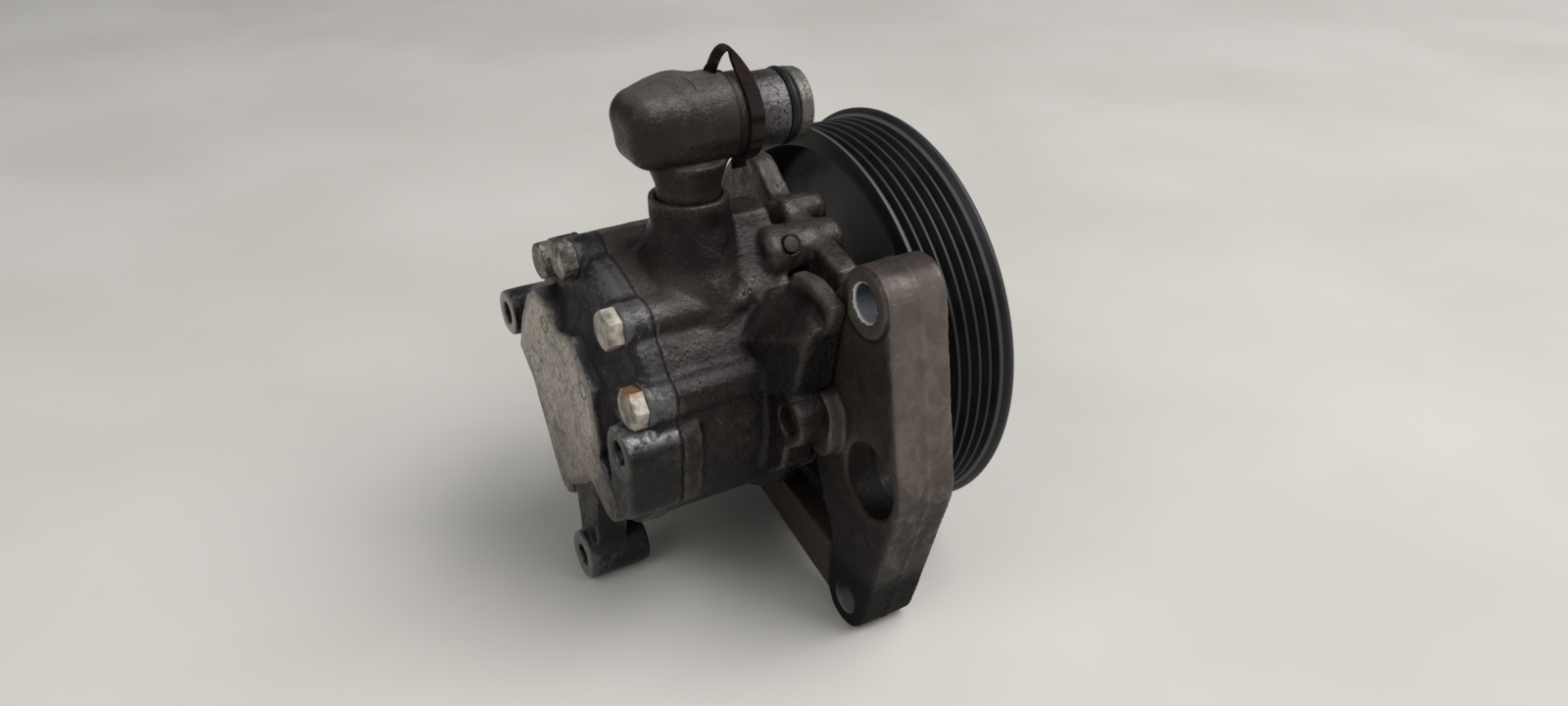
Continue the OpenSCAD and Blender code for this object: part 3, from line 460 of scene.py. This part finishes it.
def steel_finish(name, dark, bright, rust, rust_share, rough, metal, scratch=420.0, bump=0.15):
    """Material of bare or plated metal: clouded tone, fine scratches, rust in patches."""
    material, tree, shader, where = new_material(name)
    grit = place_grain(tree, where, scratch * 3, scratch * 0.5)
    tone = mottled(tree, grit["Cloud"], 0.34, 0.66, dark, bright)
    tone = tint(tree, tone, dark, steps(tree, grit["Fine"], 0.58, 0.72), 0.35)
    spots = put(tree, "TexNoise", {"Vector": where, "Scale": scratch * 0.33, "Detail": 5.0, "Roughness": 0.7})
    rusty = steps(tree, spots.outputs["Fac"], 0.74 - rust_share, 0.86 - rust_share)
    tone = tint(tree, tone, rust, rusty)
    shine = ragged(tree, steps(tree, grit["Cloud"], 0.3, 0.7, rough - 0.08, rough + 0.10), rusty, 0.3)
    scratches = put(tree, "Bump", {"Strength": bump, "Distance": 0.0002, "Height": grit["Height"]})
    tree.links.new(tone, shader.inputs["Base Color"])
    tree.links.new(shine, shader.inputs["Roughness"])
    tree.links.new(scratches.outputs["Normal"], shader.inputs["Normal"])
    tree.links.new(steps(tree, rusty, 0, 1, metal, 0.0), shader.inputs["Metallic"])
    return material, SimpleNamespace(tree=tree, shader=shader, where=where, tone=tone)


screws = eased_copy("cover_bolts", "cover_screws", 0.00022)
screw_steel, look = steel_finish("screw_steel", dark=(0.13, 0.113, 0.096, 1), bright=(0.50, 0.450, 0.390, 1),
                                 rust=(0.14, 0.075, 0.04, 1), rust_share=0.14, rough=0.5, metal=0.45)
tree = look.tree
far_side = put(tree, "SeparateXYZ", {"Vector": look.where}).outputs["Y"]
soiled = put(tree, "TexNoise", {"Vector": look.where, "Scale": 260.0, "Detail": 5.0, "Roughness": 0.7})
soiled = sums(tree, "ADD", soiled.outputs["Fac"], steps(tree, far_side, -0.014, -0.004, 0.0, 0.17))
tone = tint(tree, look.tone, (0.035, 0.030, 0.027, 1), steps(tree, soiled, 0.58, 0.70), 0.75)
low_head = (-0.0885, -0.0350, 0.0178)
rust_edge = steps(tree, ragged(tree, distance(tree, look.where, low_head), soiled, 0.004), 0.0062, 0.0042)
tone = tint(tree, tone, (0.20, 0.085, 0.028, 1), rust_edge, 0.85)
tree.links.new(tone, look.shader.inputs["Base Color"])
screws.data.materials.append(screw_steel)

# Pump cartridge. Ground steel plates, cam ring, rotor and vanes, stacked on two pins in the chamber,
# with plain bronze bushes for the shaft and moulded rubber seals.
ground_steel, _ = steel_finish("ground_steel", dark=(0.33, 0.33, 0.32, 1), bright=(0.52, 0.52, 0.51, 1),
                               rust=(0.2, 0.15, 0.1, 1), rust_share=0.0, rough=0.28, metal=1.0,
                               scratch=700, bump=0.06)
spring_steel, _ = steel_finish("spring_steel", dark=(0.10, 0.10, 0.105, 1), bright=(0.22, 0.22, 0.23, 1),
                               rust=(0.1, 0.07, 0.05, 1), rust_share=0.0, rough=0.34, metal=0.9,
                               scratch=900, bump=0.05)
bush_bronze, _ = steel_finish("bush_bronze", dark=(0.36, 0.23, 0.09, 1), bright=(0.55, 0.38, 0.17, 1),
                              rust=(0.2, 0.12, 0.05, 1), rust_share=0.0, rough=0.36, metal=1.0,
                              scratch=800, bump=0.08)
moulded_rubber, tree, shader, where = new_material("moulded_rubber")
bloom = put(tree, "TexNoise", {"Vector": where, "Scale": 160.0, "Detail": 5.0, "Roughness": 0.65}).outputs["Fac"]
tone = mottled(tree, bloom, 0.38, 0.72, (0.006, 0.006, 0.007, 1), (0.020, 0.020, 0.022, 1))
skin_bump = put(tree, "Bump", {"Strength": 0.08, "Distance": 0.0002, "Height": bloom})
tree.links.new(tone, shader.inputs["Base Color"])
tree.links.new(steps(tree, bloom, 0.3, 0.7, 0.26, 0.46), shader.inputs["Roughness"])
tree.links.new(skin_bump.outputs["Normal"], shader.inputs["Normal"])
shader.inputs["Specular IOR Level"].default_value = 0.2


def dress(material, *nodes):
    """Give a material to solids that are shown as they are."""
    for name in nodes:
        data = cad_node[name].data
        data.materials.clear()
        data.materials.append(material)


dress(ground_steel, "rear_plate", "cam_ring", "front_plate", "locating_pins", "shaft", "rotor", "valve_spool",
      *["vane_%02d" % k for k in range(1, 11)])
dress(spring_steel, "rotor_circlip")
dress(bush_bronze, "front_bush", "rear_bush")
dress(moulded_rubber, "shaft_seal", "cover_seal", "neck_seal", "valve_plug_seal", "spigot_seal")

# Pulley. Spun and rolled sheet steel with a welded hub, six belt grooves, painted satin black.
# The belt has polished the rib crests, and the web has gone dull grey. Pressed on the shaft.
groove_count, rib_r, groove_depth, pitch, crest = 6, 60.3, 2.7, 3.56, 0.65
half = groove_count * pitch / 2
rear, front = -half - 2 + crest / 2, half + 3.6 - crest / 2
lip_r, rear_lip_r, dish_r, web_t = 62.5, rib_r + 1.5, 55.3, 3.2
web_rim, web_hub = 4.4, -0.6
hub_bore_r, hub_r, hub_rear, hub_front = 8.52, 15, -8.5, 8
groove_floor = rib_r - groove_depth
top_half = (pitch - crest) / 2
low_half = top_half - groove_depth * math.tan(math.radians(20))


def new_piece(bm, name):
    """A smooth-shaded piece of the finished bmesh."""
    for face in bm.faces:
        face.smooth = True
    mesh = bpy.data.meshes.new(name)
    bm.to_mesh(mesh)
    bm.free()
    piece = bpy.data.objects.new(name, mesh)
    scene.collection.objects.link(piece)
    return piece


hub_back = [(hub_bore_r, hub_rear), (hub_r - 1, hub_rear), (hub_r, hub_rear + 1), (hub_r, web_hub - 0.8),
            (hub_r + 0.8, web_hub), (hub_r + 3, web_hub)]
dish_back = [(dish_r - 6, web_rim), (dish_r - 3.4, web_rim - 0.1), (dish_r - 1.5, web_rim - 1),
             (dish_r - 0.4, web_rim - 2.2), (dish_r, web_rim - 4), (dish_r, rear + 0.6)]
rear_lip = [(dish_r + 0.2, rear + 0.15), (dish_r + 0.6, rear), (rear_lip_r - 0.9, rear),
            (rear_lip_r - 0.2, rear + 0.3), (rear_lip_r, rear + 0.9), (rear_lip_r, -half - 0.5),
            (rear_lip_r - 0.4, -half - 0.2)]
grooves = []
for k in range(groove_count):
    middle = -half + pitch * (k + 0.5)
    for side in (-1, 1):
        flank = [(rib_r - 0.18, middle + side * (top_half + 0.16)), (rib_r - 0.02, middle + side * top_half),
                 (groove_floor + 0.25, middle + side * (low_half + 0.08)),
                 (groove_floor, middle + side * (low_half - 0.15))]
        grooves += flank[::-side]
front_lip = [(lip_r - 0.9, half + 0.8), (lip_r - 0.25, half + 1.6), (lip_r, half + 2.2), (lip_r, front - 0.7),
             (lip_r - 0.3, front - 0.15), (lip_r - 0.9, front), (dish_r + 1.5, front), (dish_r + 0.3, front - 0.2)]
dish_front = [(dish_r - 0.5, front - 1), (dish_r - 1.5, web_rim + web_t + 2),
              (dish_r - 3, web_rim + web_t + 0.6), (dish_r - 6, web_rim + web_t), (hub_r + 3, web_hub + web_t)]
hub_nose = [(hub_r, web_hub + web_t + 0.3), (hub_r - 1, web_hub + web_t + 1.2), (hub_r - 1, hub_front - 1),
            (hub_r - 1.3, hub_front - 0.3), (hub_r - 2, hub_front), (hub_bore_r, hub_front)]
outline = hub_back + dish_back + rear_lip + grooves + front_lip + dish_front + hub_nose
bm = bmesh.new()
rim = [bm.verts.new((x / 1000, 0, r / 1000)) for r, x in outline]
section = [bm.edges.new(pair) for pair in zip(rim, rim[1:] + rim[:1])]
bmesh.ops.spin(bm, geom=rim + section, cent=(0, 0, 0), axis=(1, 0, 0), dvec=(0, 0, 0), angle=2 * math.pi,
               steps=288, use_merge=True)
bmesh.ops.remove_doubles(bm, verts=bm.verts, dist=1e-7)
bmesh.ops.recalc_face_normals(bm, faces=bm.faces)
for edge in bm.edges:
    edge.smooth = edge.calc_face_angle(0) < 0.75
pulley = new_piece(bm, "belt_pulley")
pulley_paint, tree, shader, where = new_material("pulley_paint")
axes = put(tree, "SeparateXYZ", {"Vector": where}).outputs
radius = from_bore(tree, axes, 0, 0)
grit = place_grain(tree, where, 1400, 60)
black = mottled(tree, grit["Cloud"], 0.35, 0.7, (0.0055, 0.0055, 0.0068, 1), (0.014, 0.014, 0.016, 1))
dull = mottled(tree, grit["Cloud"], 0.35, 0.65, (0.042, 0.041, 0.042, 1), (0.096, 0.092, 0.094, 1))
in_dish = both(tree, steps(tree, radius, 0.0545, 0.050), steps(tree, radius, 0.014, 0.017))
tone = tint(tree, black, dull, in_dish)
rear_edge = both(tree, steps(tree, off(tree, axes["X"], (rear + 0.5) / 1000), 0.00035, 0.0002),
                 steps(tree, radius, 0.0611, 0.0614))
tone = tint(tree, tone, (0.15, 0.15, 0.155, 1), rear_edge, 0.7)
belt_edge = half / 1000
crest_rub = both(tree, steps(tree, radius, 0.06014, 0.06024),
                 steps(tree, axes["X"], belt_edge + 0.0006, belt_edge + 0.0002),
                 steps(tree, axes["X"], -belt_edge - 0.0005, -belt_edge - 0.0001))
tone = tint(tree, tone, (0.16, 0.16, 0.165, 1), crest_rub, 0.75)
lip_rub = steps(tree, ragged(tree, radius, grit["Fine"], 0.0008), 0.0626, 0.0630)
tone = tint(tree, tone, (0.10, 0.10, 0.10, 1), lip_rub, 0.3)
paint_bump = put(tree, "Bump", {"Strength": 0.12, "Distance": 0.0002, "Height": grit["Height"]})
tree.links.new(tone, shader.inputs["Base Color"])
tree.links.new(steps(tree, grit["Cloud"], 0.3, 0.7, 0.40, 0.56), shader.inputs["Roughness"])
tree.links.new(paint_bump.outputs["Normal"], shader.inputs["Normal"])
shader.inputs["Specular IOR Level"].default_value = 0.35
pulley.data.materials.append(pulley_paint)
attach(pulley, "rotating_group")
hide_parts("pulley")

# Valve spring. A coil of round spring wire with closed ends, between the valve plug and the spool,
# in the bore on the far side.
wire_r, wire_sides, turn_steps, open_turns, spool_stroke = 0.0007, 12, 32, 6, 0.006
spring_low, spring_high = (Vector(corner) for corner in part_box("valve_spring"))
spring_axis = (spring_low + spring_high) / 2
spring_len = spring_high.z - spring_low.z
coil_r = (spring_high.x - spring_low.x) / 2 - wire_r
closed_rise = 2 * wire_r
open_rise = (spring_len - 2 * wire_r - 2 * closed_rise) / open_turns
bm = bmesh.new()
ring = bmesh.ops.create_circle(bm, segments=wire_sides, radius=wire_r,
                               matrix=Matrix.Rotation(math.radians(90), 4, "X"))["verts"]
bmesh.ops.translate(bm, verts=ring, vec=(spring_axis.x + coil_r, spring_axis.y, spring_low.z + wire_r))
wire_end = ring + list(bm.edges)
for turns, rise in ((1, closed_rise), (open_turns, open_rise), (1, closed_rise)):
    grown = bmesh.ops.spin(bm, geom=wire_end, cent=(spring_axis.x, spring_axis.y, 0), axis=(0, 0, 1),
                           dvec=(0, 0, rise / turn_steps), angle=2 * math.pi * turns,
                           steps=turn_steps * turns, use_merge=False)
    wire_end = [g for g in grown["geom_last"] if isinstance(g, (bmesh.types.BMVert, bmesh.types.BMEdge))]
bmesh.ops.holes_fill(bm, edges=[e for e in bm.edges if e.is_boundary], sides=wire_sides)
bmesh.ops.recalc_face_normals(bm, faces=bm.faces)
spring = new_piece(bm, "valve_coil_spring")
spring.data.materials.append(spring_steel)
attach(spring, "body")
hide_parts("valve_spring")
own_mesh(spring)

# Valve plug and drilling plug. Turned steel plugs, dark with oil: a hexagon plug screwed into the valve
# bore from below, and a small plug pressed into the drilling of the thick lug.
plug_steel, _ = steel_finish("plug_steel", dark=(0.010, 0.008, 0.0070, 1), bright=(0.022, 0.018, 0.0145, 1),
                             rust=(0.09, 0.05, 0.03, 1), rust_share=0.1, rough=0.55, metal=0.3)
valve_plug = eased_copy("valve_plug", "valve_end_plug", 0.0003)
valve_plug.data.materials.append(plug_steel)
lug_plug = eased_copy("drill_plug", "lug_plug", 0.0004)
lug_plug.data.materials.append(plug_steel)

# Bracket. A cast aluminium plate with a machined upper bore, a lightening hole, a lower bore in the foot
# and an arm back to the housing, held by three hexagon screws. Brown-grey, with a parting line on its edge.
upper_bore, low_bore, light_hole, upper_bore_r = (-63, 41), (-57.6, -55), (-67, -9), 5.6
seat_ring_r, seat_ring_rise, seat_ring_slope, seat_ring_side = 9.2, 0.55, 0.5, -55.8
parting_x, parting_rise, parting_half_w = -28.6, 0.35, 0.7
chip_depth, chip_size, chips_below, chips_beyond = 0.5, 0.55, -34, -56


def limited(value):
    """A share between none and all."""
    return max(0.0, min(1.0, value))


def bored_bracket(p):
    """Points of the upper bore, machined with a reamer."""
    return np.hypot(p[:, 1] - upper_bore[0], p[:, 2] - upper_bore[1]) < upper_bore_r


def bracket_relief(p, n):
    """Raised ring round the upper bore, parting line and chipped foot, in mm."""
    if n.x < -0.6:
        inside = (seat_ring_r - math.hypot(p.y - upper_bore[0], p.z - upper_bore[1])) / seat_ring_slope
        return seat_ring_rise * limited(inside) if p.y < seat_ring_side else 0.0
    if abs(n.x) > 0.35:
        return 0.0
    parting = parting_rise * math.exp(-((p.x - parting_x) / parting_half_w) ** 2)
    chipped = limited((chips_below - p.z) / 12) * limited((chips_beyond - p.y) / 8)
    return parting - chip_depth * chipped * max(0.0, noise.noise(p * chip_size))


bracket = cast_skin("bracket", "bracket_casting", 0.00065, 5, bored_bracket, raised=bracket_relief)
bracket_metal, look = cast_finish(
    "bracket_metal", oily=(0.036, 0.0250, 0.0225, 1), grey=(0.057, 0.0430, 0.0380, 1),
    pale=(0.20, 0.172, 0.148, 1), dirt=(0.013, 0.0095, 0.0085, 1),
    grain=1000, patch=34, rough=0.6, bump=0.5, under=0.8, rub_and_glint=0.08)
tree, axes, tone = look.tree, look.axes, look.tone
# Painted light: faces turned towards the near side made lighter, in mottled tones.
nearside = steps(tree, put(tree, "Attribute", attribute_name="nearside").outputs["Fac"], 0.35, 0.75)
painted_light_nearside = mottled(tree, look.blotch, 0.40, 0.62, (0.104, 0.084, 0.073, 1), (0.138, 0.113, 0.099, 1))
tone = tint(tree, tone, painted_light_nearside, nearside, 0.8)
# Painted shade: the bracket darker lower down.
tone = shade(tree, tone, steps(tree, ragged(tree, axes["Z"], look.blotch, 0.03), 0.022, -0.014), 0.32)
# Painted shade on the foot, near the bench.
foot = both(tree, steps(tree, axes["Z"], -0.030, -0.048), steps(tree, axes["Y"], -0.046, -0.050))
tone = shade(tree, tone, foot, 0.30)
# Painted shade on the lower part of the near-side faces.
low_edge = both(tree, steps(tree, axes["Z"], -0.006, -0.030), nearside)
tone = shade(tree, tone, low_edge, 0.66)
# Painted light on the arm, lifting it out of the painted shade above.
arm = both(tree, steps(tree, axes["Z"], -0.022, -0.030), steps(tree, axes["Y"], -0.050, -0.044))
tone = tint(tree, tone, (0.075, 0.060, 0.052, 1), arm, 0.6)
from_upper = from_bore(tree, axes, *upper_bore)
ring_edge = both(tree, steps(tree, off(tree, from_upper, 0.0097), 0.0009, 0.0003),
                 steps(tree, axes["X"], -0.0372, -0.0376))
tone = shade(tree, tone, ring_edge, 0.4)
seat_ring = both(tree, steps(tree, from_upper, 0.0093, 0.0089), steps(tree, axes["X"], -0.0381, -0.0384))
tone = tint(tree, tone, (0.085, 0.073, 0.064, 1), seat_ring, 0.8)
# Upper bore: reamed metal with painted light and shade, lighter on faces that turn up; its lip is bare chamfer and
# a painted highlight.
reamed_lit_and_shaded = mottled(tree, look.upward, -0.3, 0.9, (0.060, 0.064, 0.074, 1), (0.34, 0.36, 0.40, 1))
reamed_lit_and_shaded = tint(tree, reamed_lit_and_shaded, (0.75, 0.74, 0.72, 1), steps(tree, axes["X"], -0.0370, -0.0378))
tone = tint(tree, tone, reamed_lit_and_shaded, steps(tree, from_upper, 0.0056, 0.0053))
# Lower bore: drilled metal with painted light and shade, lighter on faces that turn up.
drilled_lit_and_shaded = mottled(tree, look.upward, -0.4, 0.9, (0.03, 0.031, 0.035, 1), (0.17, 0.18, 0.20, 1))
tone = tint(tree, tone, drilled_lit_and_shaded, steps(tree, from_bore(tree, axes, *low_bore), 0.0051, 0.0047))
# Painted shade inside the lightening hole.
tone = shade(tree, tone, steps(tree, from_bore(tree, axes, *light_hole), 0.0112, 0.0104), 0.3)
tree.links.new(tone, look.shader.inputs["Base Color"])
tree.links.new(sums(tree, "MAXIMUM", look.shine, both(tree, foot, 0.88)), look.shader.inputs["Roughness"])
bracket.data.materials.append(bracket_metal)
bracket_screws = eased_copy("bracket_bolts", "bracket_screws", 0.00025)
bracket_screws.data.materials.append(screw_steel)

# Inlet elbow. A cast elbow pushed into the port with a rubber ring, its spigot turned for the feed line.
# The head is dark brown-grey, the spigot grey and speckled with a bright end.
spigot_y, spigot_z, spigot_face, spigot_bore_r, spigot_bore_end = -12, 75.8, -38.6, 7, -56
crown_rise, crown_floor, crown_front, crown_back = 1.1, 77, -54, -77
spigot_r, wall_r, collar_x, head_x, shoulder_back = 0.0099, 0.0088, -0.0434, -0.0494, -0.069
shoulder_r, shoulder_swell, shoulder_from, shoulder_to, shoulder_fade = 0.0118, 0.0009, -70, 125, 25


def turned_spigot(p):
    """Points of the turned spigot and of the bore in it."""
    from_spigot = np.hypot(p[:, 1] - spigot_y, p[:, 2] - spigot_z)
    return (p[:, 0] > spigot_face) | (from_spigot < spigot_bore_r) & (p[:, 0] > spigot_bore_end)


def head_crown(p, n):
    """Fuller top of the head towards its closed end, in mm."""
    share = limited((crown_front - p.x) / 5) * limited((p.x - crown_back) / 10)
    return crown_rise * share * max(0.0, n.z) if p.z > crown_floor else 0.0


elbow = cast_skin("inlet_elbow", "inlet_elbow_casting", 0.0005, 6, turned_spigot, raised=head_crown)
bm = bmesh.new()
bm.from_mesh(elbow.data)
for v in bm.verts:
    out_of = Vector((0, v.co.y - spigot_y / 1000, v.co.z - spigot_z / 1000))
    if collar_x < v.co.x < spigot_face / 1000 and out_of.length > wall_r:
        v.co += out_of.normalized() * (spigot_r - out_of.length)
    turn = math.degrees(math.atan2(-out_of.y, out_of.z))
    if v.co.x < head_x and out_of.length > wall_r and shoulder_from < turn < shoulder_to:
        shoulder = shoulder_r + shoulder_swell * math.sin(math.radians(2 * turn)) ** 2
        share = limited((head_x - v.co.x) / 0.0008) * limited((v.co.x - shoulder_back) / 0.008)
        share *= limited(min(turn - shoulder_from, shoulder_to - turn) / shoulder_fade)
        v.co += out_of.normalized() * max(0, shoulder - out_of.length) * share
bm.to_mesh(elbow.data)
bm.free()
elbow_metal, look = cast_finish(
    "elbow_metal", oily=(0.0165, 0.0115, 0.0105, 1), grey=(0.031, 0.0238, 0.0218, 1),
    pale=(0.19, 0.172, 0.158, 1), dirt=(0.010, 0.008, 0.0075, 1),
    grain=1200, patch=48, rough=0.44, bump=0.8, under=0.7, rub_and_glint=0.16, metal=0.1)
tree, along = look.tree, look.axes["X"]
on_spigot = steps(tree, along, -0.0442, -0.0438)
turned = mottled(tree, look.grit["Cloud"], 0.35, 0.62, (0.040, 0.036, 0.036, 1), (0.115, 0.106, 0.110, 1))
turned = tint(tree, turned, (0.03, 0.026, 0.023, 1), look.grit["Pits"], 0.8)
turned = tint(tree, turned, (0.14, 0.132, 0.118, 1), steps(tree, along, -0.0312, -0.0308))
specks = put(tree, "TexVoronoi", {"Vector": look.where, "Scale": 620.0}).outputs["Distance"]
specks = both(tree, steps(tree, specks, 0.34, 0.20), steps(tree, along, -0.0330, -0.0350))
turned = tint(tree, turned, (0.012, 0.010, 0.009, 1), specks, 0.8)
tone = tint(tree, look.tone, turned, on_spigot)
# Painted light: the head's upward faces made lighter in patches.
painted_lit_top = both(tree, steps(tree, look.upward, 0.55, 0.9), steps(tree, along, -0.0440, -0.0445),
             steps(tree, look.blotch, 0.30, 0.60, 0.45, 0.85))
tone = tint(tree, tone, (0.100, 0.086, 0.081, 1), painted_lit_top)
# Painted shade in the crease between the head and the collar.
tone = shade(tree, tone, steps(tree, off(tree, along, -0.0488), 0.0008, 0.0003), 0.45)
tree.links.new(tone, look.shader.inputs["Base Color"])
tree.links.new(sums(tree, "SUBTRACT", look.shine, both(tree, on_spigot, 0.14)), look.shader.inputs["Roughness"])
tree.links.new(sums(tree, "ADD", both(tree, on_spigot, 0.5), 0.1), look.shader.inputs["Metallic"])
elbow.data.materials.append(elbow_metal)

# Strap clip. A flat spring-steel strap, brown with rust, sprung round the elbow's collar. It rises over the
# head in a loop to pull it by, and its other end hangs as a short tail below.
strap_r, strap_x, strap_half_w, strap_half_t = 11.5, -44.9, 2.0, 0.55
clip_rust, look = steel_finish("clip_rust", dark=(0.006, 0.0040, 0.0038, 1), bright=(0.015, 0.0085, 0.0078, 1),
                               rust=(0.030, 0.012, 0.0085, 1), rust_share=0.2, rough=0.75, metal=0.0,
                               scratch=600, bump=0.5)
look.shader.inputs["Specular IOR Level"].default_value = 0.15


def on_collar(angle):
    """Place on the collar, at an angle from the top towards the near side."""
    turn = math.radians(angle)
    return strap_x, spigot_y - strap_r * math.sin(turn), spigot_z + strap_r * math.cos(turn)


# Each point holds the place on the strap's middle line in mm, and the way of its width in X and Y.
route = [on_collar(angle) + (-1, 0) for angle in range(200, 306, 15)]
route += [(-46.2, -4.2, 84.0, -0.8, 0.6), (-48.2, -6.8, 85.9, -0.6, 0.8), (-50.3, -9.5, 86.9, -0.3, 1),
          (-51.4, -11.4, 87.8, 0, 1), (-51.2, -12, 89.6, 0, 1), (-49.9, -12, 91.9, 0, 1), (-48.2, -12, 93.2, 0, 1),
          (-46.8, -12.2, 92.8, 0.3, 1), (-45.8, -13.2, 90.8, 0.7, 0.7), (-45.2, -14.9, 88.7, 0.9, 0.4),
          (-44.9, -16.8, 86.8, 1, 0.1)]
route += [on_collar(angle) + (1, 0) for angle in range(35, 171, 15)]
route += [(strap_x, -12.9, 63.7, 1, 0), (strap_x, -13.1, 61.4, 1, 0)]
route = np.array(route)
ahead = np.gradient(route, axis=0)
bend = []
for k in range(len(route) - 1):
    for t in (0.0, 0.34, 0.67):
        eased = t * t * (3 - 2 * t)
        bend.append(route[k] * (1 - eased) + route[k + 1] * eased
                    + ahead[k] * t * (1 - t) ** 2 - ahead[k + 1] * t * t * (1 - t))
bend = np.array(bend + [route[-1]])
heading = np.gradient(bend[:, :3], axis=0)
bm = bmesh.new()
strap_end, corners = None, []
for place, run in zip(bend, heading):
    run = Vector(run).normalized()
    across = Vector((place[3], place[4], 0))
    across = (across - run * across.dot(run)).normalized() * strap_half_w
    outward = run.cross(across.normalized()) * strap_half_t
    middle = Vector(place[:3])
    now = [(middle + across * a + outward * b) / 1000 for a, b in ((1, 1), (-1, 1), (-1, -1), (1, -1))]
    if strap_end is None:
        strap_end = bm.faces.new([bm.verts.new(corner) for corner in now])
    else:
        grown = bmesh.ops.extrude_face_region(bm, geom=[strap_end])["geom"]
        strap_end = [g for g in grown if isinstance(g, bmesh.types.BMFace)][0]
        for v in [g for g in grown if isinstance(g, bmesh.types.BMVert)]:
            v.co = now[min(range(4), key=lambda k: (corners[k] - v.co).length)]
    corners = now
bmesh.ops.recalc_face_normals(bm, faces=bm.faces)
sharp = [e for e in bm.edges if len(e.link_faces) == 2 and e.calc_face_angle() > 0.8]
bmesh.ops.bevel(bm, geom=sharp, offset=0.0002, offset_type="OFFSET", affect="EDGES", segments=2, profile=0.5,
                material=-1, clamp_overlap=True)
clip = new_piece(bm, "elbow_strap_clip")
clip.data.materials.append(clip_rust)
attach(clip, "body")
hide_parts("elbow_clip")

# Bench the pump stands on. A plain off-white table top, large enough to fill the picture,
# with the soft unevenness of a wiped painted board.
bm = bmesh.new()
bmesh.ops.create_grid(bm, x_segments=1, y_segments=1, size=3.0)
bmesh.ops.translate(bm, verts=bm.verts, vec=(0, 0, cad_low[2]))
bench = new_piece(bm, "bench_top")
bench_paint, tree, shader, where = new_material("bench_paint")
wiped = put(tree, "TexNoise", {"Vector": where, "Scale": 6.0, "Detail": 5.0}).outputs["Fac"]
tone = mottled(tree, wiped, 0.3, 0.7, (0.60, 0.58, 0.54, 1), (0.67, 0.65, 0.61, 1))
tree.links.new(tone, shader.inputs["Base Color"])
shader.inputs["Roughness"].default_value = 0.55
bench.data.materials.append(bench_paint)

# Camera at the photograph's angle: above and behind the pump, on the bracket's side.
# Its place, turn and focal length were fitted to points of the pump that the photograph shows.
azimuth, elevation, roll = math.radians(-30.845), math.radians(29.032), math.radians(-0.119)
camera_place = (-0.1879, -0.2754, 0.1712)
photo_width, focal_px, film_width = 1600, 1217.83, 36
back = Vector((math.sin(azimuth) * math.cos(elevation), -math.cos(azimuth) * math.cos(elevation),
               math.sin(elevation)))
level = Vector((math.cos(azimuth), math.sin(azimuth), 0))
upright = back.cross(level)
right = math.cos(roll) * level + math.sin(roll) * upright
up = -math.sin(roll) * level + math.cos(roll) * upright
lens = bpy.data.cameras.new("photo_view")
lens.sensor_width = film_width
lens.lens = focal_px / photo_width * film_width
lens.clip_start, lens.clip_end = 0.01, 20
camera = bpy.data.objects.new("photo_view", lens)
camera.matrix_world = Matrix.Translation(camera_place) @ Matrix((right, up, back)).transposed().to_4x4()
scene.collection.objects.link(camera)
scene.camera = camera

# Light of a workshop: a broad soft lamp overhead and to the right, a weaker one from the rear side,
# and the even glow of pale walls.
for name, size, energy, place, aim in (
        ("overhead_lamp", 1.8, 53, (0.85, -0.85, 1.75), (-0.04, 0, 0)),
        ("rear_side_lamp", 0.9, 5, (-1.1, -0.3, 1.0), (-0.05, 0, 0))):
    lamp = bpy.data.lights.new(name, "AREA")
    lamp.size = size
    lamp.energy = energy
    stand = bpy.data.objects.new(name, lamp)
    stand.location = place
    stand.rotation_euler = (Vector(aim) - Vector(place)).to_track_quat("-Z", "Y").to_euler()
    scene.collection.objects.link(stand)
room = bpy.data.worlds.new("room")
room.use_nodes = True
walls = room.node_tree.nodes["Background"].inputs
walls["Color"].default_value = (0.93, 0.93, 0.92, 1)
walls["Strength"].default_value = 0.20
scene.world = room
scene.view_settings.view_transform = "Standard"
